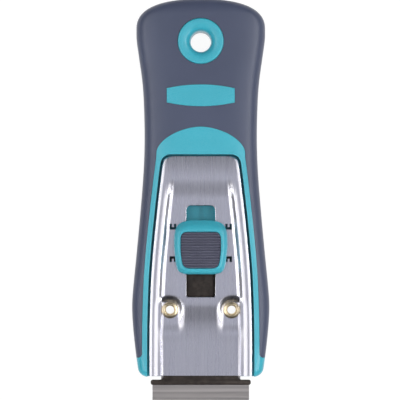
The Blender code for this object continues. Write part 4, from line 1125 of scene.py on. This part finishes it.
def new_material(name, base, roughness, metallic=0.0):
    material = bpy.data.materials.new(name)
    material.use_nodes = True
    tree = material.node_tree
    shader = tree.nodes["Principled BSDF"]
    shader.inputs["Base Color"].default_value = (*base, 1.0)
    shader.inputs["Roughness"].default_value = roughness
    shader.inputs["Metallic"].default_value = metallic
    return material, tree, shader


def add_node(tree, kind, **inputs):
    """A new node with the values of its sockets, whose names have _ for a space."""
    node = tree.nodes.new("ShaderNode" + kind)
    for key, value in inputs.items():
        node.inputs[key.replace("_", " ")].default_value = value
    return node


def noise(tree, scale, detail=3.0, rough=0.55):
    """A noise on object coordinates, with a scale per metre along each axis."""
    place = add_node(tree, "TexCoord")
    stretch = add_node(tree, "Mapping", Scale=scale)
    pattern = add_node(tree, "TexNoise", Scale=1.0, Detail=detail, Roughness=rough)
    tree.links.new(place.outputs["Object"], stretch.inputs["Vector"])
    tree.links.new(stretch.outputs["Vector"], pattern.inputs["Vector"])
    return pattern.outputs["Fac"]


def ramp(tree, source, low, high, dark, light):
    """Turns a pattern's range into a range of colours."""
    node = add_node(tree, "ValToRGB")
    first, last = node.color_ramp.elements
    first.position, last.position = low, high
    first.color, last.color = (*dark, 1.0), (*light, 1.0)
    tree.links.new(source, node.inputs["Fac"])
    return node.outputs["Color"]


def value_range(tree, source, low, high):
    node = add_node(tree, "MapRange", From_Min=NOISE_LOW, From_Max=NOISE_HIGH,
                    To_Min=low, To_Max=high)
    tree.links.new(source, node.inputs["Value"])
    return node.outputs["Result"]


def bump(tree, source, shader, strength, distance):
    node = add_node(tree, "Bump", Strength=strength, Distance=distance)
    tree.links.new(source, node.inputs["Height"])
    tree.links.new(node.outputs["Normal"], shader.inputs["Normal"])


def shaded(base, factor):
    return tuple(min(1.0, part * factor) for part in base)


def even(scale):
    return (scale, scale, scale)


def textured(name, base, kind, cloud, tones, grain, gloss, relief):
    """Colour follows one noise, the cloud. Gloss and relief follow the grain, or the cloud."""
    material, tree, shader = new_material(name, base, *kind)
    clouds = noise(tree, *cloud)
    grains = noise(tree, *grain) if grain else clouds
    low, high, dark, light = tones
    tree.links.new(ramp(tree, clouds, low, high, shaded(base, dark), shaded(base, light)),
                   shader.inputs["Base Color"])
    tree.links.new(value_range(tree, grains, *gloss), shader.inputs["Roughness"])
    bump(tree, grains, shader, *relief)
    return material


def moulded_plastic(name, base):
    """Satin plastic: a very fine spark texture and a faint cloud in its colour."""
    return textured(name, base, (0.4,), (even(60.0), 2.0), (0.3, 0.7, 0.96, 1.04),
                    (even(3200.0), 2.0), (0.24, 0.34), (0.25, 0.02 * MM))


def soft_rubber(name, base, pores=GRIP_PORES):
    """Matt rubber: fine pores, a faint cloud and no clear gloss."""
    return textured(name, base, (0.6,), (even(45.0), 3.0), (0.3, 0.7, 0.94, 1.06),
                    (even(pores), 3.0), (0.36, 0.46), (0.4, 0.03 * MM * GRIP_PORES / pores))


def brushed_steel(name, base, grain="Y"):
    """Steel with long brush lines along one axis."""
    coarse = (1300.0, 16.0, 16.0) if grain == "Y" else (16.0, 1300.0, 16.0)
    fine = (4200.0, 40.0, 40.0) if grain == "Y" else (40.0, 4200.0, 40.0)
    return textured(name, base, (0.32, 1.0), (coarse, 4.0, 0.6), (0.3, 0.7, 0.97, 1.025),
                    (fine, 3.0, 0.6), (0.25, 0.32), (0.15, 0.008 * MM))


def burnished_steel(name, base):
    """Dark steel with a mottled oxide skin."""
    return textured(name, base, (0.42, 0.55), (even(500.0), 4.0, 0.6), (0.32, 0.68, 0.8, 1.5),
                    None, (0.34, 0.5), (0.2, 0.02 * MM))


def ground_steel(name, base):
    """Blade steel with grinding lines parallel to the cutting edge."""
    return textured(name, base, (0.34, 1.0), ((6.0, 1400.0, 1400.0), 2.0, 0.5),
                    (0.4, 0.6, 0.84, 1.16), ((30.0, 3000.0, 3000.0), 3.0, 0.6), (0.28, 0.42),
                    (0.3, 0.01 * MM))


def polished_brass(name, base):
    """Brass with a soft polish and a little tarnish."""
    return textured(name, base, (0.24, 1.0), (even(700.0), 3.0, 0.6), (0.3, 0.75, 0.86, 1.06),
                    None, (0.3, 0.4), (0.1, 0.01 * MM))


# Stage

# Brings the part of the floor that the lamps don't light up to white
GLOW_EXTRA = 0.06


def math_node(tree, operation):
    node = add_node(tree, "Math")
    node.operation = operation
    return node


def floor_material(colours):
    """A pale floor that looks white to the camera and still takes the tool's shadow."""
    material = bpy.data.materials.new("floor_pale")
    material.use_nodes = True
    tree = material.node_tree
    tree.nodes.clear()
    plain = add_node(tree, "BsdfDiffuse", Color=(*colours.floor, 1.0))
    seen = add_node(tree, "BsdfDiffuse", Color=(*even(1.0 - colours.lift), 1.0))
    glow = add_node(tree, "Emission", Strength=colours.lift + GLOW_EXTRA)
    both = add_node(tree, "AddShader")
    path = add_node(tree, "LightPath")
    first, second = math_node(tree, "MAXIMUM"), math_node(tree, "MAXIMUM")
    mix = add_node(tree, "MixShader")
    output = add_node(tree, "OutputMaterial")
    for source, socket, target, place in (
            (path, "Is Camera Ray", first, 0), (path, "Is Glossy Ray", first, 1),
            (first, "Value", second, 0), (path, "Is Transmission Ray", second, 1),
            (seen, "BSDF", both, 0), (glow, "Emission", both, 1), (second, "Value", mix, "Fac"),
            (plain, "BSDF", mix, 1), (both, "Shader", mix, 2),
            (mix, "Shader", output, "Surface")):
        tree.links.new(source.outputs[socket], target.inputs[place])
    return material


# Light of the sky: places across and along it, with a level and a tint at each
COOL, PLAIN, WARM = (0.93, 0.97, 1.16), (1.0, 1.0, 1.0), (1.03, 1.0, 0.96)
ACROSS_LEVELS = [(0.0, 0.42, COOL), (0.14, 0.42, COOL), (0.26, 0.9, WARM), (0.48, 0.9, WARM),
                 (0.60, 0.35, PLAIN), (0.78, 0.2, PLAIN), (0.88, 0.08, PLAIN), (1.0, 0.08, PLAIN)]
ALONG_LEVELS = [(place, level, PLAIN) for place, level in (
    (0.0, 0.04), (0.16, 0.08), (0.26, 0.28), (0.33, 0.43), (0.38, 0.65), (0.43, 0.74),
    (0.465, 0.78), (0.48, 1.75), (0.505, 1.75), (0.52, 0.88), (0.57, 0.7), (0.61, 0.46),
    (0.66, 0.30), (0.8, 0.18), (1.0, 0.15))]


def levels(tree, source, stops):
    """A light that follows a list of places, levels and tints."""
    node = add_node(tree, "ValToRGB")
    parts = node.color_ramp.elements
    for i, (place, level, tint) in enumerate(stops):
        part = parts[i] if i < 2 else parts.new(place)
        part.position = place
        part.color = (*(level * tone for tone in tint), 1.0)
    tree.links.new(source, node.inputs["Fac"])
    return node.outputs["Color"]


def studio_world():
    """Soft light overhead that fades towards the front, the back and the sides."""
    world = bpy.data.worlds.new("studio")
    bpy.context.scene.world = world
    world.use_nodes = True
    tree = world.node_tree
    background = tree.nodes["Background"]
    place = add_node(tree, "TexCoord")
    split = add_node(tree, "SeparateXYZ")
    side = math_node(tree, "ABSOLUTE")
    along = add_node(tree, "MapRange", From_Min=-1.0)
    total = add_node(tree, "Mix", Factor=1.0)
    total.data_type = "RGBA"
    total.blend_type = "MULTIPLY"
    tree.links.new(place.outputs["Generated"], split.inputs["Vector"])
    tree.links.new(split.outputs["X"], side.inputs[0])
    tree.links.new(split.outputs["Y"], along.inputs["Value"])
    tree.links.new(levels(tree, side.outputs["Value"], ACROSS_LEVELS), total.inputs["A"])
    tree.links.new(levels(tree, along.outputs["Result"], ALONG_LEVELS), total.inputs["B"])
    tree.links.new(total.outputs["Result"], background.inputs["Color"])


# The photo's frame, measured on a level plane through the middle of the tool
FRAME_PIXELS = 400
PIXEL = 0.4023 * MM
SENSOR = 36.0
CAMERA_ASIDE = (-0.30 * MM, -0.06 * MM)
CAMERA_PLANE = 9.0 * MM

# Lamps that metal doesn't mirror: name, place, size, energy and tilt in degrees
PLAIN_LAMPS = [("light_front", (0.0, -0.85, 0.42), (0.7, 0.3), 2.2, 63.7),
               ("light_top", (0.0, 0.0, 1.3), (0.7, 0.7), 1.25, 0.0)]

# Lamps on the left and right, which it mirrors: name, side, tilt in degrees and energy
SIDE_LAMPS = [("light_left_high", -1, 25, 0.54), ("light_left_low", -1, 49, 2.2),
              ("light_right_high", 1, 25, 0.54), ("light_right_low", 1, 49, 3.2)]
LAMP_DISTANCE = 0.8
LAMP_SIZE = (0.12, 0.9)
FLOOR_BELOW = 0.02 * MM
FLOOR_SIZE = 12.0


def soft_light(name, place, size, energy, turn, mirrored_too=True):
    rest()
    bpy.ops.object.light_add(type="AREA", location=place)
    lamp = bpy.context.object
    lamp.name = name
    lamp.rotation_euler = turn
    lamp.visible_glossy = mirrored_too
    lamp.data.shape = "RECTANGLE"
    lamp.data.size, lamp.data.size_y = size
    lamp.data.energy = energy


class SCRAPER_OT_stage(bpy.types.Operator):
    """Set the floor, the lights and the camera"""
    bl_idname = "scraper.stage"
    bl_label = "Stage"

    def execute(self, context):
        settings = context.scene.scraper_stage
        rest()
        bpy.ops.mesh.primitive_plane_add(size=FLOOR_SIZE, location=(0.0, 0.0, -FLOOR_BELOW))
        floor = context.object
        floor.name = "floor"
        floor.data.materials.append(floor_material(settings))
        studio_world()
        for name, side, tilt, energy in SIDE_LAMPS:
            angle = math.radians(tilt)
            place = (side * LAMP_DISTANCE * math.sin(angle), 0.0,
                     LAMP_DISTANCE * math.cos(angle))
            soft_light(name, place, LAMP_SIZE, energy, (0.0, side * angle, 0.0))
        for name, place, size, energy, tilt in PLAIN_LAMPS:
            soft_light(name, place, size, energy, (math.radians(tilt), 0.0, 0.0), False)
        bpy.ops.object.camera_add(location=(*CAMERA_ASIDE, settings.distance + CAMERA_PLANE))
        camera = context.object
        camera.name = "camera"
        camera.data.sensor_width = SENSOR
        camera.data.lens = SENSOR * settings.distance / (FRAME_PIXELS * PIXEL)
        camera.data.clip_start, camera.data.clip_end = 0.01, 100.0
        context.scene.camera = camera
        context.scene.view_settings.view_transform = "Standard"
        rest()
        return {"FINISHED"}


# Panel and registration

OPERATORS = (SCRAPER_OT_core, SCRAPER_OT_grip, SCRAPER_OT_plate, SCRAPER_OT_eyelets,
             SCRAPER_OT_carrier, SCRAPER_OT_blade, SCRAPER_OT_slider, SCRAPER_OT_inlay,
             SCRAPER_OT_hidden, SCRAPER_OT_stage)


class SCRAPER_PT_panel(bpy.types.Panel):
    """The scraper's pieces, with their sizes and colours"""
    bl_idname = "SCRAPER_PT_panel"
    bl_label = "Scraper"
    bl_space_type = "VIEW_3D"
    bl_region_type = "UI"
    bl_category = "Scraper"

    def draw(self, context):
        for operator in OPERATORS:
            self.layout.operator(operator.bl_idname)
        for group in GROUPS:
            settings = getattr(context.scene, group)
            box = self.layout.box()
            for key in type(settings).__annotations__:
                box.prop(settings, key)


def register():
    for group in GROUPS.values():
        bpy.utils.register_class(group)
    for name, group in GROUPS.items():
        setattr(bpy.types.Scene, name, PointerProperty(type=group))
    for piece in (*OPERATORS, SCRAPER_PT_panel):
        bpy.utils.register_class(piece)


def unregister():
    for piece in reversed((*OPERATORS, SCRAPER_PT_panel)):
        bpy.utils.unregister_class(piece)
    for name in GROUPS:
        delattr(bpy.types.Scene, name)
    for group in reversed(list(GROUPS.values())):
        bpy.utils.unregister_class(group)


def main():
    register()
    bpy.ops.scraper.core()
    bpy.ops.scraper.grip()
    bpy.ops.scraper.plate()
    bpy.ops.scraper.eyelets()
    bpy.ops.scraper.carrier()
    bpy.ops.scraper.blade()
    bpy.ops.scraper.slider()
    bpy.ops.scraper.inlay()
    bpy.ops.scraper.hidden()
    bpy.ops.scraper.stage()


if __name__ == "__main__":
    main()
